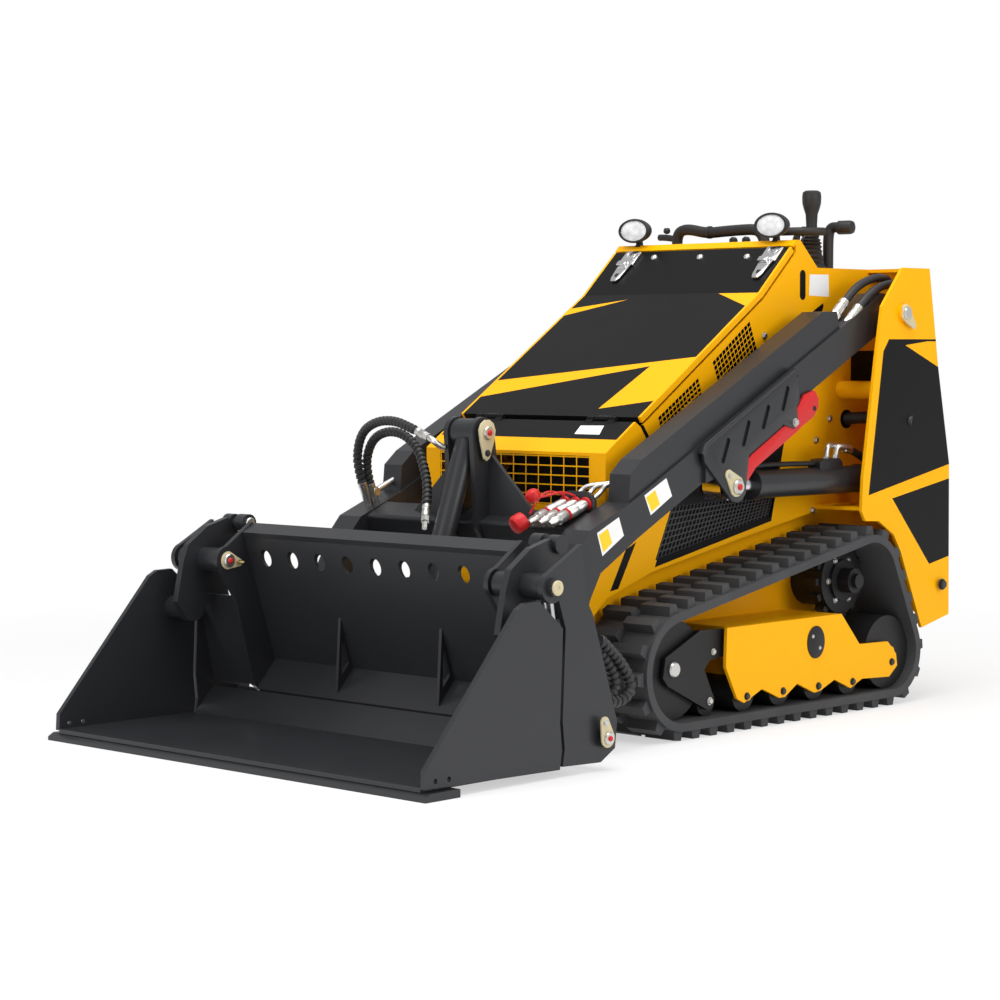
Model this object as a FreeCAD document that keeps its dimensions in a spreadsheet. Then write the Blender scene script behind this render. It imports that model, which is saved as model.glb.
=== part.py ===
import FreeCAD, Part
import math
import os
import re
import Sketcher

# Stand-on mini track loader with a four-in-one bucket.  Millimetres; +Z is up, the bucket points
# along -Y and +X is the machine's left.  In the outlines y is measured back from the front of the
# cutting edge; every finished piece is then moved forward by half the overall length.

SIZES = {
    # Clearances
    "side_gap": 5,
    "arm_gap": 38,
    "pin_fit": 0.05,
    "eye_gap": 2,
    # Bucket: cutting edge, floor and clam
    "edge_thick": 16,
    "edge_depth": 92,
    "cheek_thick": 12,
    "floor_thick": 9,
    "floor_back_y": 382,
    "seam_y": 438,
    "seam_z": 80,
    "seam_gap": 8,
    "clam_top_z": 338,
    "clam_pivot_y": 362,
    "clam_pivot_z": 374,
    "clam_ear_r": 31,
    "clam_pin_r": 14,
    # Bucket: moldboard
    "ear_thick": 12,
    "mold_top_y": 408,
    "mold_top_z": 425,
    "mold_sheet": 9,
    "fold_y": 498,
    "fold_z": 146,
    "hole_pitch": 86.7,
    "hole_r": 16,
    "hole_drop": 57,
    "gusset_x": 150,
    "gusset_thick": 8,
    # Bucket: clam levers and cylinders
    "lever_thick": 16,
    "lever_hub_r": 26,
    "lever_boss_y": 330,
    "lever_boss_z": 265,
    "lever_boss_r": 27,
    "lever_pin_y": 450,
    "lever_pin_z": 450,
    "clam_base_y": 516,
    "clam_base_z": 61,
    "clam_cyl_r": 24,
    "clam_cyl_length": 232,
    "clam_rod_r": 12,
    "clam_eye_r": 20,
    "clam_eye_width": 30,
    "small_pin_r": 11,
    # Bucket: hitch
    "bucket_pivot_y": 615,
    "bucket_pivot_z": 112,
    "bucket_pin_r": 16,
    "hitch_ear_r": 36,
    "hitch_thick": 12,
    "tilt_pin_y": 548,
    "tilt_pin_z": 216,
    "tilt_lug_r": 28,
    "tilt_lug_thick": 12,
    # Tilt cylinder
    "tilt_top_y": 705,
    "tilt_top_z": 655,
    "tilt_head_r": 34,
    "tilt_plate_x": 32,
    "tilt_plate_thick": 12,
    "tilt_cyl_r": 25,
    "tilt_cyl_length": 380,
    "tilt_rod_r": 15,
    "tilt_eye_r": 24,
    "tilt_eye_width": 58,
    "big_pin_r": 16,
    # Arms
    "arm_width": 70,
    "arm_depth": 87,
    "arm_pivot_y": 1730,
    "arm_pivot_z": 919,
    "arm_pin_r": 20,
    "arm_end_r": 42,
    "arm_foot_y": 823,
    "arm_foot_z": 435,
    "beam_size": 75,
    "cover_inset": 6,
    "cover_rise": 68,
    # Lift cylinders
    "lift_pin_y": 1143,
    "lift_pin_z": 533,
    "lift_base_y": 1680,
    "lift_base_z": 530,
    "lift_plate_thick": 8,
    "lift_boss_r": 30,
    "lift_cyl_r": 32,
    "lift_cyl_length": 430,
    "lift_rod_r": 18,
    "lift_eye_r": 30,
    "lift_eye_width": 50,
    # Hull
    "hull_half": 272,
    "skin": 6,
    "chassis_bottom": 130,
    "chassis_top": 330,
    "front_y": 845,
    "nose_y": 790,
    "grille_low": 496,
    "grille_high": 605,
    "lid_low_y": 951,
    "lid_low_z": 682,
    "lid_crease_y": 1379,
    "lid_crease_z": 964,
    "lid_high_y": 1495,
    "lid_high_z": 1070,
    "lid_thick": 14,
    "hinge_x": 150,
    "hinge_width": 40,
    "hinge_r": 6,
    "hinge_pin_r": 3,
    "apex_y": 1512,
    "apex_z": 1087,
    "deck_y": 1595,
    "deck_z": 1024,
    # Tower
    "tower_thick": 8,
    "tower_gap": 12,
    "rear_y": 1931,
    "rear_top_y": 1840,
    # Tracks
    "track_width": 180,
    "belt_thick": 18,
    "lug_height": 20,
    "lug_length": 32,
    "lug_count": 40,
    "belt_play": 0.3,
    "idler_y": 923,
    "idler_z": 148,
    "idler_belt_r": 128,
    "sprocket_y": 1603,
    "sprocket_z": 295,
    "sprocket_belt_r": 110,
    "rear_wheel_y": 1690,
    "rear_wheel_z": 124,
    "rear_belt_r": 104,
    "lead_roller_y": 1040,
    "lead_roller_r": 30,
    "roller_first_y": 1151,
    "roller_pitch": 129,
    "roller_r": 38,
    "axle_r": 14,
    "frame_thick": 8,
    "frame_top": 229,
    "frame_inset": 12,
    "fork_thick": 8,
    # Platform
    "platform_half": 240,
    "platform_y": 1944,
    "platform_z": 215,
    "platform_height": 300,
    "platform_thick": 34,
    "platform_pin_r": 12,
    "platform_lug": 16,
}

# Sizes that follow from those above
FOLLOWS = {
    "arm_x": "hull_half + arm_gap",
    "tower_outer": "arm_x + arm_width + arm_gap",
    "grille_half": "hull_half - 44",
    "chassis_half": "hull_half - 34",
    "track_x": "chassis_half + 14",
    "frame_outer": "track_x + track_width - frame_inset",
    "fork_outer": "frame_outer - 18",
    "ear_x": "arm_x + arm_width + side_gap + hitch_thick + 7",
    "clam_cyl_x": "ear_x + ear_thick + 32",
    "lever_x": "clam_cyl_x + 32",
    "cheek_outer": "lever_x + 70 + cheek_thick",
    "edge_width": "2 * (cheek_outer + 13)",
}

doc = FreeCAD.newDocument("TrackLoader")
sheet = doc.addObject("Spreadsheet::Sheet", "Sizes")
for row, (alias, amount) in enumerate(SIZES.items(), 1):
    sheet.set(f"A{row}", alias)
    sheet.set(f"B{row}", str(amount))
    sheet.setAlias(f"B{row}", alias)
doc.recompute()

nodes = []


def refer(formula):
    """Write a formula of named sizes as a FreeCAD expression."""
    def meaning(word):
        name = word.group()
        if name in FOLLOWS:
            return f"({refer(FOLLOWS[name])})"
        return "Sizes." + name if name in SIZES else name
    return re.sub(r"[a-z_]\w*", meaning, str(formula))


def worth(formula):
    """Number that a formula of the sheet's names has now."""
    return float(sheet.evalExpression(refer(formula)))


def bind(item, formulas):
    """Tie properties of an object to formulas of the sheet's names."""
    for path, formula in formulas.items():
        item.setExpression(path, refer(formula))


def profile(body, plane, outline, circles, offset):
    """Closed outline on one origin plane of a body, each corner and circle tied to the sheet."""
    sketch = body.newObject("Sketcher::SketchObject", body.Name + "_profile")
    origin_plane = [item for item in body.Origin.OriginFeatures if item.Role == plane][0]
    sketch.AttachmentSupport = [(origin_plane, "")]
    sketch.MapMode = "FlatFace"
    bind(sketch, {"AttachmentOffset.Base.z": offset})
    places = [FreeCAD.Vector(worth(u), worth(v), 0) for u, v in outline]
    count = len(places)
    for index, place in enumerate(places):
        sketch.addGeometry(Part.LineSegment(place, places[(index + 1) % count]), False)
    for index in range(count):
        sketch.addConstraint(Sketcher.Constraint("Coincident", index, 2, (index + 1) % count, 1))
    ties = [(index, 1, u, v) for index, (u, v) in enumerate(outline)]
    for index, (u, v, radius) in enumerate(circles, count):
        centre = FreeCAD.Vector(worth(u), worth(v), 0)
        sketch.addGeometry(Part.Circle(centre, FreeCAD.Vector(0, 0, 1), worth(radius)), False)
        held = sketch.addConstraint(Sketcher.Constraint("Radius", index, worth(radius)))
        sketch.setExpression(f"Constraints[{held}]", refer(radius))
        ties.append((index, 3, u, v))
    for index, point, u, v in ties:
        for direction, formula in (("DistanceX", u), ("DistanceY", v)):
            held = sketch.addConstraint(Sketcher.Constraint(direction, -1, 1, index, point, worth(formula)))
            sketch.setExpression(f"Constraints[{held}]", refer(formula))
    return sketch


def slab(name, outline, start, thick, side=1, circles=(), rounds=(), plane="YZ_Plane"):
    """Plate or bar: an outline padded square to its plane, with some corners rounded."""
    body = doc.addObject("PartDesign::Body", name)
    offset = start if side > 0 else f"-({start}) - ({thick})"
    sketch = profile(body, plane, outline, circles, offset)
    pad = body.newObject("PartDesign::Pad", name + "_pad")
    pad.Profile = sketch
    bind(pad, {"Length": thick})
    doc.recompute()
    last = pad
    for radius, corners in rounds:
        edges = []
        for corner in corners:
            y, z = (worth(formula) for formula in outline[corner])
            for index, edge in enumerate(last.Shape.Edges, 1):
                if all(abs(v.Y - y) + abs(v.Z - z) < 0.01 for v in edge.Vertexes):
                    edges.append(f"Edge{index}")
        fillet = body.newObject("PartDesign::Fillet", name + "_round")
        fillet.Base = (last, edges)
        bind(fillet, {"Radius": radius})
        body.Tip = fillet
        doc.recompute()
        last = fillet
    return body


def rod(name, y, z, start, length, radius, side=1):
    """Round bar along X."""
    bar = doc.addObject("Part::Cylinder", name)
    bar.Placement = FreeCAD.Placement(FreeCAD.Vector(), FreeCAD.Rotation(FreeCAD.Vector(0, 1, 0), 90))
    begin = start if side > 0 else f"-({start}) - ({length})"
    bind(bar, {"Radius": radius, "Height": length, "Placement.Base.x": begin,
               "Placement.Base.y": y, "Placement.Base.z": z})
    return bar


def ram(name, x, start, end, begin, length, radius, side=1):
    """Round bar in a side plane, pointing from one pin to another and starting some way along."""
    bar = doc.addObject("Part::Cylinder", name)
    bar.Placement = FreeCAD.Placement(FreeCAD.Vector(), FreeCAD.Rotation(FreeCAD.Vector(1, 0, 0), 1))
    run_y = f"(({end[0]}) - ({start[0]}))"
    run_z = f"(({end[1]}) - ({start[1]}))"
    reach = f"hypot({run_y}; {run_z})"
    bind(bar, {"Radius": radius, "Height": length,
               "Placement.Rotation.Angle": f"atan2(-{run_y}; {run_z})",
               "Placement.Base.x": f"{side} * ({x})",
               "Placement.Base.y": f"({start[0]}) + ({begin}) * {run_y} / {reach}",
               "Placement.Base.z": f"({start[1]}) + ({begin}) * {run_z} / {reach}"})
    return bar


def block(name, x, y, z, width, depth, height, side=1):
    """Box with its edges along the axes."""
    box = doc.addObject("Part::Box", name)
    begin = x if side > 0 else f"-({x}) - ({width})"
    bind(box, {"Length": width, "Width": depth, "Height": height,
               "Placement.Base.x": begin, "Placement.Base.y": y, "Placement.Base.z": z})
    return box


def fuse(name, items):
    """One solid of several that touch."""
    union = doc.addObject("Part::MultiFuse", name)
    union.Shapes = items
    union.Refine = True
    return union


def cut(name, base, tools):
    """A solid with holes or windows."""
    result = doc.addObject("Part::Cut", name)
    result.Base = base
    if len(tools) == 1:
        result.Tool = tools[0]
    else:
        result.Tool = fuse(name + "_openings", tools)
    result.Refine = True
    return result


def together(name, items):
    """Like pieces that stay apart from each other, in one node."""
    group = doc.addObject("Part::Compound", name)
    group.Links = items
    return group


def node(label, item):
    """Finished sub-part: it gets its file's name and its place over the middle of the machine."""
    item.Label = label
    bind(item, {"Placement.Base.y": "-(platform_y + platform_thick) / 2"})
    nodes.append(item)


def hand(side):
    """Word for the machine's side; its left is +X."""
    return "left" if side > 0 else "right"


SIDES = (1, -1)
CHEEK_X = "cheek_outer - cheek_thick"
CLAM_PIVOT = ("clam_pivot_y", "clam_pivot_z")
CLAM_BASE = ("clam_base_y", "clam_base_z")
LEVER_PIN = ("lever_pin_y", "lever_pin_z")
TILT_TOP = ("tilt_top_y", "tilt_top_z")
TILT_PIN = ("tilt_pin_y", "tilt_pin_z")
LIFT_BASE = ("lift_base_y", "lift_base_z")
LIFT_PIN = ("lift_pin_y", "lift_pin_z")


# ---- Clam shell: side plates, floor, lower slope and cutting edge, swung on the clam pivot ----

FLOOR_TOP = "edge_thick + floor_thick"


def clam_shell():
    plate = [(11, "edge_thick + 6"), (13, "edge_thick + 41"), (262, "clam_top_z"), (283, "clam_top_z + 11"),
             (324, "clam_top_z + 12"), ("floor_back_y + 9", "clam_top_z - 46"), ("floor_back_y", 110),
             ("floor_back_y + 6", 54), ("floor_back_y", "edge_thick")]
    holes = [(39, "edge_thick + 19", 5), (75, "edge_thick + 19", 5)]
    pieces = [slab(f"clam_side_{hand(side)}", plate, CHEEK_X, "cheek_thick", side, holes) for side in SIDES]
    floor = [(11, "edge_thick"), (11, FLOOR_TOP), ("floor_back_y", FLOOR_TOP), ("floor_back_y", "edge_thick")]
    pieces.append(slab("clam_floor", floor, f"-({CHEEK_X})", f"2 * ({CHEEK_X})"))
    slope = [("floor_back_y - 8", "edge_thick"), ("floor_back_y - 8", FLOOR_TOP), ("floor_back_y", FLOOR_TOP),
             ("seam_y", "seam_z"), ("seam_y + 6", "seam_z - 7"), ("floor_back_y + 4", "edge_thick")]
    half = f"({CHEEK_X} - side_gap)"
    pieces.append(slab("clam_slope", slope, f"-{half}", f"2 * {half}"))
    edge = [(0, 0), (0, "edge_thick * 0.5"), (14, "edge_thick"), ("edge_depth", "edge_thick"), ("edge_depth", 0)]
    pieces.append(slab("cutting_edge", edge, "-edge_width / 2", "edge_width"))
    node("clam_shell", fuse("ClamShell", pieces))


clam_shell()


# ---- Clam levers: each stands on its clam side plate and turns on the pivot pin ----

def clam_lever(side):
    name = f"lever_{hand(side)}"
    outline = [(428, 462), (370, 446), (314, 408), (300, 372), (281, 283), (312, 240), (352, 249), (374, 320),
               (400, 380), (462, 430)]
    hub_start = "ear_x + ear_thick + side_gap"
    pieces = [
        slab(name + "_plate", outline, "lever_x", "lever_thick", side, rounds=[(12, [2, 3])]),
        rod(name + "_hub", *CLAM_PIVOT, hub_start, f"{CHEEK_X} - side_gap - ({hub_start})", "lever_hub_r", side),
        rod(name + "_boss", "lever_boss_y", "lever_boss_z", "lever_x", f"{CHEEK_X} - lever_x",
            "lever_boss_r", side),
        rod(name + "_head", *LEVER_PIN, "lever_x", "lever_thick + 10", 19, side),
        rod(name + "_pin", *LEVER_PIN, "clam_cyl_x + clam_eye_width / 2 + eye_gap",
            "lever_x - clam_cyl_x - clam_eye_width / 2 - eye_gap + lever_thick", "small_pin_r", side),
    ]
    bore = rod(name + "_bore", *CLAM_PIVOT, "ear_x", "cheek_outer - ear_x", "clam_pin_r + pin_fit", side)
    node(f"clam_lever_{hand(side)}", cut(f"ClamLever{side}", fuse(name + "_raw", pieces), [bore]))


for side in SIDES:
    clam_lever(side)


# ---- Moldboard: holed face, flat top bar, upper slope, end ears, side pockets and gussets ----

def face_y(z, behind="0"):
    """Formula of the moldboard's y at one height, on its front or some way behind it."""
    return (f"mold_top_y + ({behind}) + (fold_y - mold_top_y)"
            f" * (mold_top_z - ({z})) / (mold_top_z - fold_z)")


def moldboard():
    tilt = "atan2(fold_y - mold_top_y; mold_top_z - fold_z)"
    stop = "side_gap * 0.75"
    sheet_outline = [("mold_top_y", "mold_top_z"), ("fold_y", "fold_z"), (f"seam_y + {stop}", f"seam_z + {stop}"),
                     ("seam_y + 12", "seam_z + 2"), ("seam_y + 12", "seam_z - 20"), ("seam_y + 20", "seam_z - 20"),
                     ("fold_y + mold_sheet", "fold_z - 4"),
                     ("mold_top_y + mold_sheet", "mold_top_z")]
    bar = [("mold_top_y", "mold_top_z - 2"), ("mold_top_y - 5", "mold_top_z + 9"),
           ("mold_top_y + 30", "mold_top_z + 28"), ("mold_top_y + 35", "mold_top_z + 17")]
    pieces = [slab("mold_sheet_plate", sheet_outline, "-ear_x", "2 * ear_x"),
              slab("mold_bar", bar, "-ear_x", "2 * ear_x")]
    ear = [("seam_y - 1", "seam_z + 12"), (384, 290), ("clam_pivot_y - 20", "clam_pivot_z - 22"),
           ("clam_pivot_y - 10", "clam_pivot_z + 26"), ("mold_top_y + 24", "mold_top_z + 30"),
           ("mold_top_y + 39", "mold_top_z + 19"), (face_y(200, 24), 200),
           ("clam_base_y + 22", "clam_base_z + 20"), ("clam_base_y + 22", "clam_base_z - 14"),
           ("clam_base_y - 14", "clam_base_z - 24"), ("seam_y + 24", "seam_z - 6")]
    pocket = [(398, 292), (444, "seam_z + 12"), (453, "seam_z + 12"), (407, 292)]
    gusset = [(face_y(257), 257), ("fold_y", "fold_z"), ("fold_y - 46", "fold_z - 51")]
    window = [(face_y(225, -7), 225), ("fold_y - 12", "fold_z + 12"), ("fold_y - 34", "fold_z - 14")]
    for side in SIDES:
        label = hand(side)
        pieces.append(slab(f"mold_ear_{label}", ear, "ear_x", "ear_thick", side))
        pieces.append(rod(f"mold_eye_{label}", *CLAM_PIVOT, "ear_x", "ear_thick", "clam_ear_r", side))
        reach = f"{CHEEK_X} - ear_x - ear_thick"
        pieces.append(slab(f"mold_pocket_{label}", pocket, "ear_x + ear_thick", reach, side))
        pieces.append(slab(f"mold_gusset_{label}", gusset, "gusset_x", "gusset_thick", side))
        pieces.append(rod(f"mold_clam_pin_{label}", *CLAM_PIVOT, "ear_x", f"{CHEEK_X} - ear_x", "clam_pin_r", side))
        pieces.append(rod(f"mold_base_pin_{label}", *CLAM_BASE, "ear_x", f"{CHEEK_X} - ear_x", "small_pin_r",
                          side))
    openings = []
    for index in range(-4, 5):
        hole = doc.addObject("Part::Cylinder", "mold_hole")
        hole.Placement = FreeCAD.Placement(FreeCAD.Vector(), FreeCAD.Rotation(FreeCAD.Vector(1, 0, 0), -90))
        bind(hole, {"Radius": "hole_r", "Height": 60, "Placement.Rotation.Angle": f"90 deg - {tilt}",
                    "Placement.Base.x": f"{index} * hole_pitch",
                    "Placement.Base.y": face_y("mold_top_z - hole_drop", 30),
                    "Placement.Base.z": "mold_top_z - hole_drop"})
        openings.append(hole)
    for side in SIDES:
        openings.append(slab(f"gusset_window_{hand(side)}", window, "gusset_x - 1", "gusset_thick + 2", side))
    node("moldboard", cut("Moldboard", fuse("mold_raw", pieces), openings))


moldboard()


# ---- Cheeks: outer side plates of the fixed half of the bucket ----

def cheek(side):
    name = f"cheek_{hand(side)}"
    outline = [("floor_back_y + seam_gap", 21), ("floor_back_y + seam_gap + 6", 54),
               ("floor_back_y + seam_gap", 110), ("floor_back_y + seam_gap + 9", 292),
               ("clam_pivot_y + 17", "clam_pivot_z - 26"), CLAM_PIVOT,
               ("clam_pivot_y - 12", "clam_pivot_z + 28"), ("mold_top_y + 37", "mold_top_z + 29"),
               ("mold_top_y + 55", 339), ("mold_top_y + 71", 312),
               ("clam_base_y + 35", "clam_base_z + 34"), ("clam_base_y + 29", "clam_base_z - 20"),
               ("clam_base_y - 14", 17)]
    pieces = [
        slab(name + "_plate", outline, CHEEK_X, "cheek_thick", side),
        rod(name + "_ear", *CLAM_PIVOT, CHEEK_X, "cheek_thick", "clam_ear_r", side),
        rod(name + "_pivot_head", *CLAM_PIVOT, "cheek_outer", 10, "clam_pin_r + 4", side),
        rod(name + "_pin_head", *CLAM_BASE, "cheek_outer", 12, "small_pin_r + 5", side),
    ]
    node(name, fuse(f"Cheek{side}", pieces))


for side in SIDES:
    cheek(side)


# ---- Hitch: paired ears that take the arms' feet, cross bars and the tilt cylinder's lugs ----

def hitch():
    ear = [(face_y(330, "mold_sheet"), 330), (face_y(330, "mold_sheet + 24"), 334),
           ("bucket_pivot_y - 26", "bucket_pivot_z + 84"), ("bucket_pivot_y + 30", "bucket_pivot_z + 20"),
           ("bucket_pivot_y + 12", "bucket_pivot_z - 34"), ("bucket_pivot_y - 60", "bucket_pivot_z - 24"),
           ("fold_y + mold_sheet", "fold_z - 40"), ("fold_y + mold_sheet", "fold_z")]
    lug = [(face_y(320, "mold_sheet"), 320), (face_y(320, "mold_sheet + 20"), 320),
           ("tilt_pin_y + 14", "tilt_pin_z + 24"), ("tilt_pin_y + 14", "tilt_pin_z - 24"),
           ("fold_y + mold_sheet + 24", "fold_z - 14"), ("fold_y + mold_sheet", "fold_z - 14"),
           ("fold_y + mold_sheet", "fold_z")]
    low_bar = [("fold_y + mold_sheet", "fold_z - 40"), ("fold_y + mold_sheet", "fold_z"),
               ("fold_y + mold_sheet + 34", "fold_z"), ("fold_y + mold_sheet + 34", "fold_z - 40")]
    high_bar = [(face_y(340, "mold_sheet"), 340), (face_y(340, "mold_sheet + 24"), 340),
                (face_y(310, "mold_sheet + 24"), 310), (face_y(310, "mold_sheet"), 310)]
    inner = "arm_x - side_gap - hitch_thick"
    outer = "arm_x + arm_width + side_gap"
    width = f"2 * ({outer} + hitch_thick)"
    pieces = [slab("hitch_low_bar", low_bar, f"-({width}) / 2", width),
              slab("hitch_high_bar", high_bar, f"-({width}) / 2", width)]
    for side in SIDES:
        label = hand(side)
        for start, kind in ((inner, "inner"), (outer, "outer")):
            pieces.append(slab(f"hitch_{kind}_{label}", ear, start, "hitch_thick", side))
            pieces.append(rod(f"hitch_{kind}_eye_{label}", "bucket_pivot_y", "bucket_pivot_z", start,
                              "hitch_thick", "hitch_ear_r", side))
        pieces.append(rod(f"hitch_pin_{label}", "bucket_pivot_y", "bucket_pivot_z", inner,
                          f"{outer} + hitch_thick - ({inner})", "bucket_pin_r", side))
        lug_x = "tilt_eye_width / 2 + eye_gap"
        pieces.append(slab(f"hitch_lug_{label}", lug, lug_x, "tilt_lug_thick", side))
        pieces.append(rod(f"hitch_lug_eye_{label}", *TILT_PIN, lug_x, "tilt_lug_thick", "tilt_lug_r", side))
        pieces.append(rod(f"hitch_lug_head_{label}", *TILT_PIN, lug_x, "tilt_lug_thick + 8", "big_pin_r + 4", side))
    node("hitch", fuse("Hitch", pieces))


hitch()


# ---- Hydraulic cylinders: barrels turn on their base pins, rods slide in the barrels ----

def barrel(name, x, base, end, length, radius, pin_r, eye_r, width, side=1):
    pieces = [
        rod(name + "_eye", *base, f"{x} - ({width}) / 2", width, eye_r, side),
        ram(name + "_tube", x, base, end, f"({eye_r}) * 0.6", f"({length}) - ({eye_r}) * 0.6 - 26", radius, side),
        ram(name + "_gland", x, base, end, f"({length}) - 27", 27, f"({radius}) * 1.06", side),
    ]
    holes = [rod(name + "_bore", *base, f"{x} - ({width})", f"2 * ({width})", f"({pin_r}) + pin_fit", side)]
    return pieces, holes


def piston_rod(name, x, base, end, begin, radius, eye_r, width, side=1):
    reach = f"hypot(({end[0]}) - ({base[0]}); ({end[1]}) - ({base[1]}))"
    pieces = [
        rod(name + "_eye", *end, f"{x} - ({width}) / 2", width, eye_r, side),
        ram(name + "_bar", x, base, end, begin, f"{reach} - ({begin})", radius, side),
    ]
    return fuse(name + "_solid", pieces)


def cylinder_pair(name, x, base, end, length, radius, rod_r, pin_r, eye_r, rod_eye_r, width, rod_width, inside,
                  begin, side=1):
    pieces, holes = barrel(name + "_barrel", x, base, end, length, radius, pin_r, eye_r, width, side)
    holes.append(ram(name + "_rod_bore", x, base, end, inside, f"({length}) - ({inside}) + 5",
                     f"({rod_r}) + pin_fit", side))
    barrel_name = name.replace("cylinder", "barrel")
    rod_name = name.replace("cylinder", "rod")
    node(barrel_name, cut(name + "_barrel_solid", fuse(name + "_barrel_raw", pieces), holes))
    node(rod_name, piston_rod(name + "_rod", x, base, end, begin, rod_r, rod_eye_r, rod_width, side))


for side in SIDES:
    cylinder_pair(f"clam_cylinder_{hand(side)}", "clam_cyl_x", CLAM_BASE, LEVER_PIN, "clam_cyl_length", "clam_cyl_r",
                  "clam_rod_r", "small_pin_r", "clam_eye_r + 2", "clam_eye_r", "clam_eye_width",
                  "clam_eye_width", 28, 140, side)
    cylinder_pair(f"lift_cylinder_{hand(side)}", "arm_x + arm_width / 2", LIFT_BASE, LIFT_PIN, "lift_cyl_length",
                  "lift_cyl_r", "lift_rod_r", "big_pin_r", "lift_eye_r + 4", "lift_eye_r", "lift_eye_width",
                  "lift_eye_width", 36, 40, side)
cylinder_pair("tilt_cylinder", 0, TILT_TOP, TILT_PIN, "tilt_cyl_length", "tilt_cyl_r", "tilt_rod_r", "big_pin_r",
              "tilt_head_r - 4", "tilt_eye_r", "2 * (tilt_plate_x - 4)", "tilt_eye_width", 50, 100)


# ---- Lift arms: sloping box tubes with a leg down to the bucket's pivot ----

ARM_SLOPE = "((arm_pivot_z - 41 - arm_foot_z) / (arm_pivot_y - 25 - arm_foot_y))"


def arm_low(y):
    """Height of the arm's lower edge at one y."""
    return f"arm_foot_z + {ARM_SLOPE} * (({y}) - arm_foot_y)"


def arm_high(y):
    """Height of the arm's upper edge at one y."""
    return f"arm_foot_z + arm_depth + {ARM_SLOPE} * (({y}) - arm_foot_y)"


def arm(side):
    name = f"arm_{hand(side)}"
    end = "arm_pivot_y - 25"
    outline = [("arm_pivot_y", "arm_pivot_z - arm_end_r"), (end, arm_low(end)), ("arm_foot_y", "arm_foot_z"),
               ("arm_foot_y - 46", "arm_foot_z - 27"), ("arm_foot_y - 115", "arm_foot_z - 65"),
               ("arm_foot_y - 152", "arm_foot_z - 125"),
               ("bucket_pivot_y + hitch_ear_r", "bucket_pivot_z + 12"),
               ("bucket_pivot_y + hitch_ear_r", "bucket_pivot_z"),
               ("bucket_pivot_y - hitch_ear_r", "bucket_pivot_z"),
               ("bucket_pivot_y - hitch_ear_r + 4", "arm_foot_z - 120"),
               ("arm_foot_y - 174", "arm_foot_z - 3"), ("arm_foot_y - 149", "arm_foot_z + 25"),
               ("arm_foot_y - 23", arm_high("arm_foot_y - 23")), (end, arm_high(end)),
               ("arm_pivot_y + 20", "arm_pivot_z + arm_end_r - 6"), ("arm_pivot_y + arm_end_r", "arm_pivot_z")]
    plate = [(1042, arm_low(1042)), (1042, arm_low("1042") + " + 64"), (1373, arm_low(1373) + " + 64"), (1376, 724),
             (1368, 670), ("lift_pin_y + 27", "lift_pin_z + 13"), ("lift_pin_y + 4", "lift_pin_z - 28"),
             ("lift_pin_y - 22", "lift_pin_z - 16"), ("lift_pin_y - 30", "lift_pin_z + 30")]
    pieces = [
        slab(name + "_tube", outline, "arm_x", "arm_width", side, rounds=[(60, [5])]),
        rod(name + "_foot", "bucket_pivot_y", "bucket_pivot_z", "arm_x", "arm_width", "hitch_ear_r", side),
        rod(name + "_head", "arm_pivot_y", "arm_pivot_z", "arm_x", "arm_width", "arm_end_r", side),
    ]
    for start, kind in (("arm_x - lift_plate_thick", "inner"), ("arm_x + arm_width", "outer")):
        pieces.append(slab(f"{name}_lift_{kind}", plate, start, "lift_plate_thick", side))
        pieces.append(rod(f"{name}_lift_{kind}_boss", *LIFT_PIN, start, "lift_plate_thick", "lift_boss_r", side))
    stub = "arm_width / 2 - lift_eye_width / 2 - eye_gap"
    pieces.append(rod(name + "_stub_inner", *LIFT_PIN, "arm_x - lift_plate_thick", f"lift_plate_thick + {stub}",
                      "big_pin_r", side))
    pieces.append(rod(name + "_stub_outer", *LIFT_PIN, f"arm_x + arm_width - ({stub})",
                      f"{stub} + lift_plate_thick + 6", "big_pin_r", side))
    holes = [
        rod(name + "_foot_bore", "bucket_pivot_y", "bucket_pivot_z", "arm_x - 1", "arm_width + 2",
            "bucket_pin_r + pin_fit", side),
        rod(name + "_head_bore", "arm_pivot_y", "arm_pivot_z", "arm_x - 1", "arm_width + 2",
            "arm_pin_r + pin_fit", side),
    ]
    node(name, cut(f"Arm{side}", fuse(name + "_raw", pieces), holes))


def arm_cover(side):
    name = f"arm_cover_{hand(side)}"
    begin = "arm_foot_y - 20"
    outline = [(begin, arm_high(begin)), ("arm_foot_y - 14", arm_high("arm_foot_y - 14") + " + cover_rise - 12"),
               ("arm_foot_y + 24", arm_high("arm_foot_y + 24") + " + cover_rise"),
               ("arm_foot_y + 655", arm_high("arm_foot_y + 655") + " + cover_rise"),
               ("arm_foot_y + 710", arm_high("arm_foot_y + 710") + " + cover_rise - 26"),
               ("arm_foot_y + 720", arm_high("arm_foot_y + 720"))]
    node(name, slab(f"ArmCover{side}", outline, "arm_x + cover_inset", "arm_width - 2 * cover_inset", side))


for side in SIDES:
    arm(side)
    arm_cover(side)


# ---- Crosshead: square beam between the arms with the tilt cylinder's upper bracket ----

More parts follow.
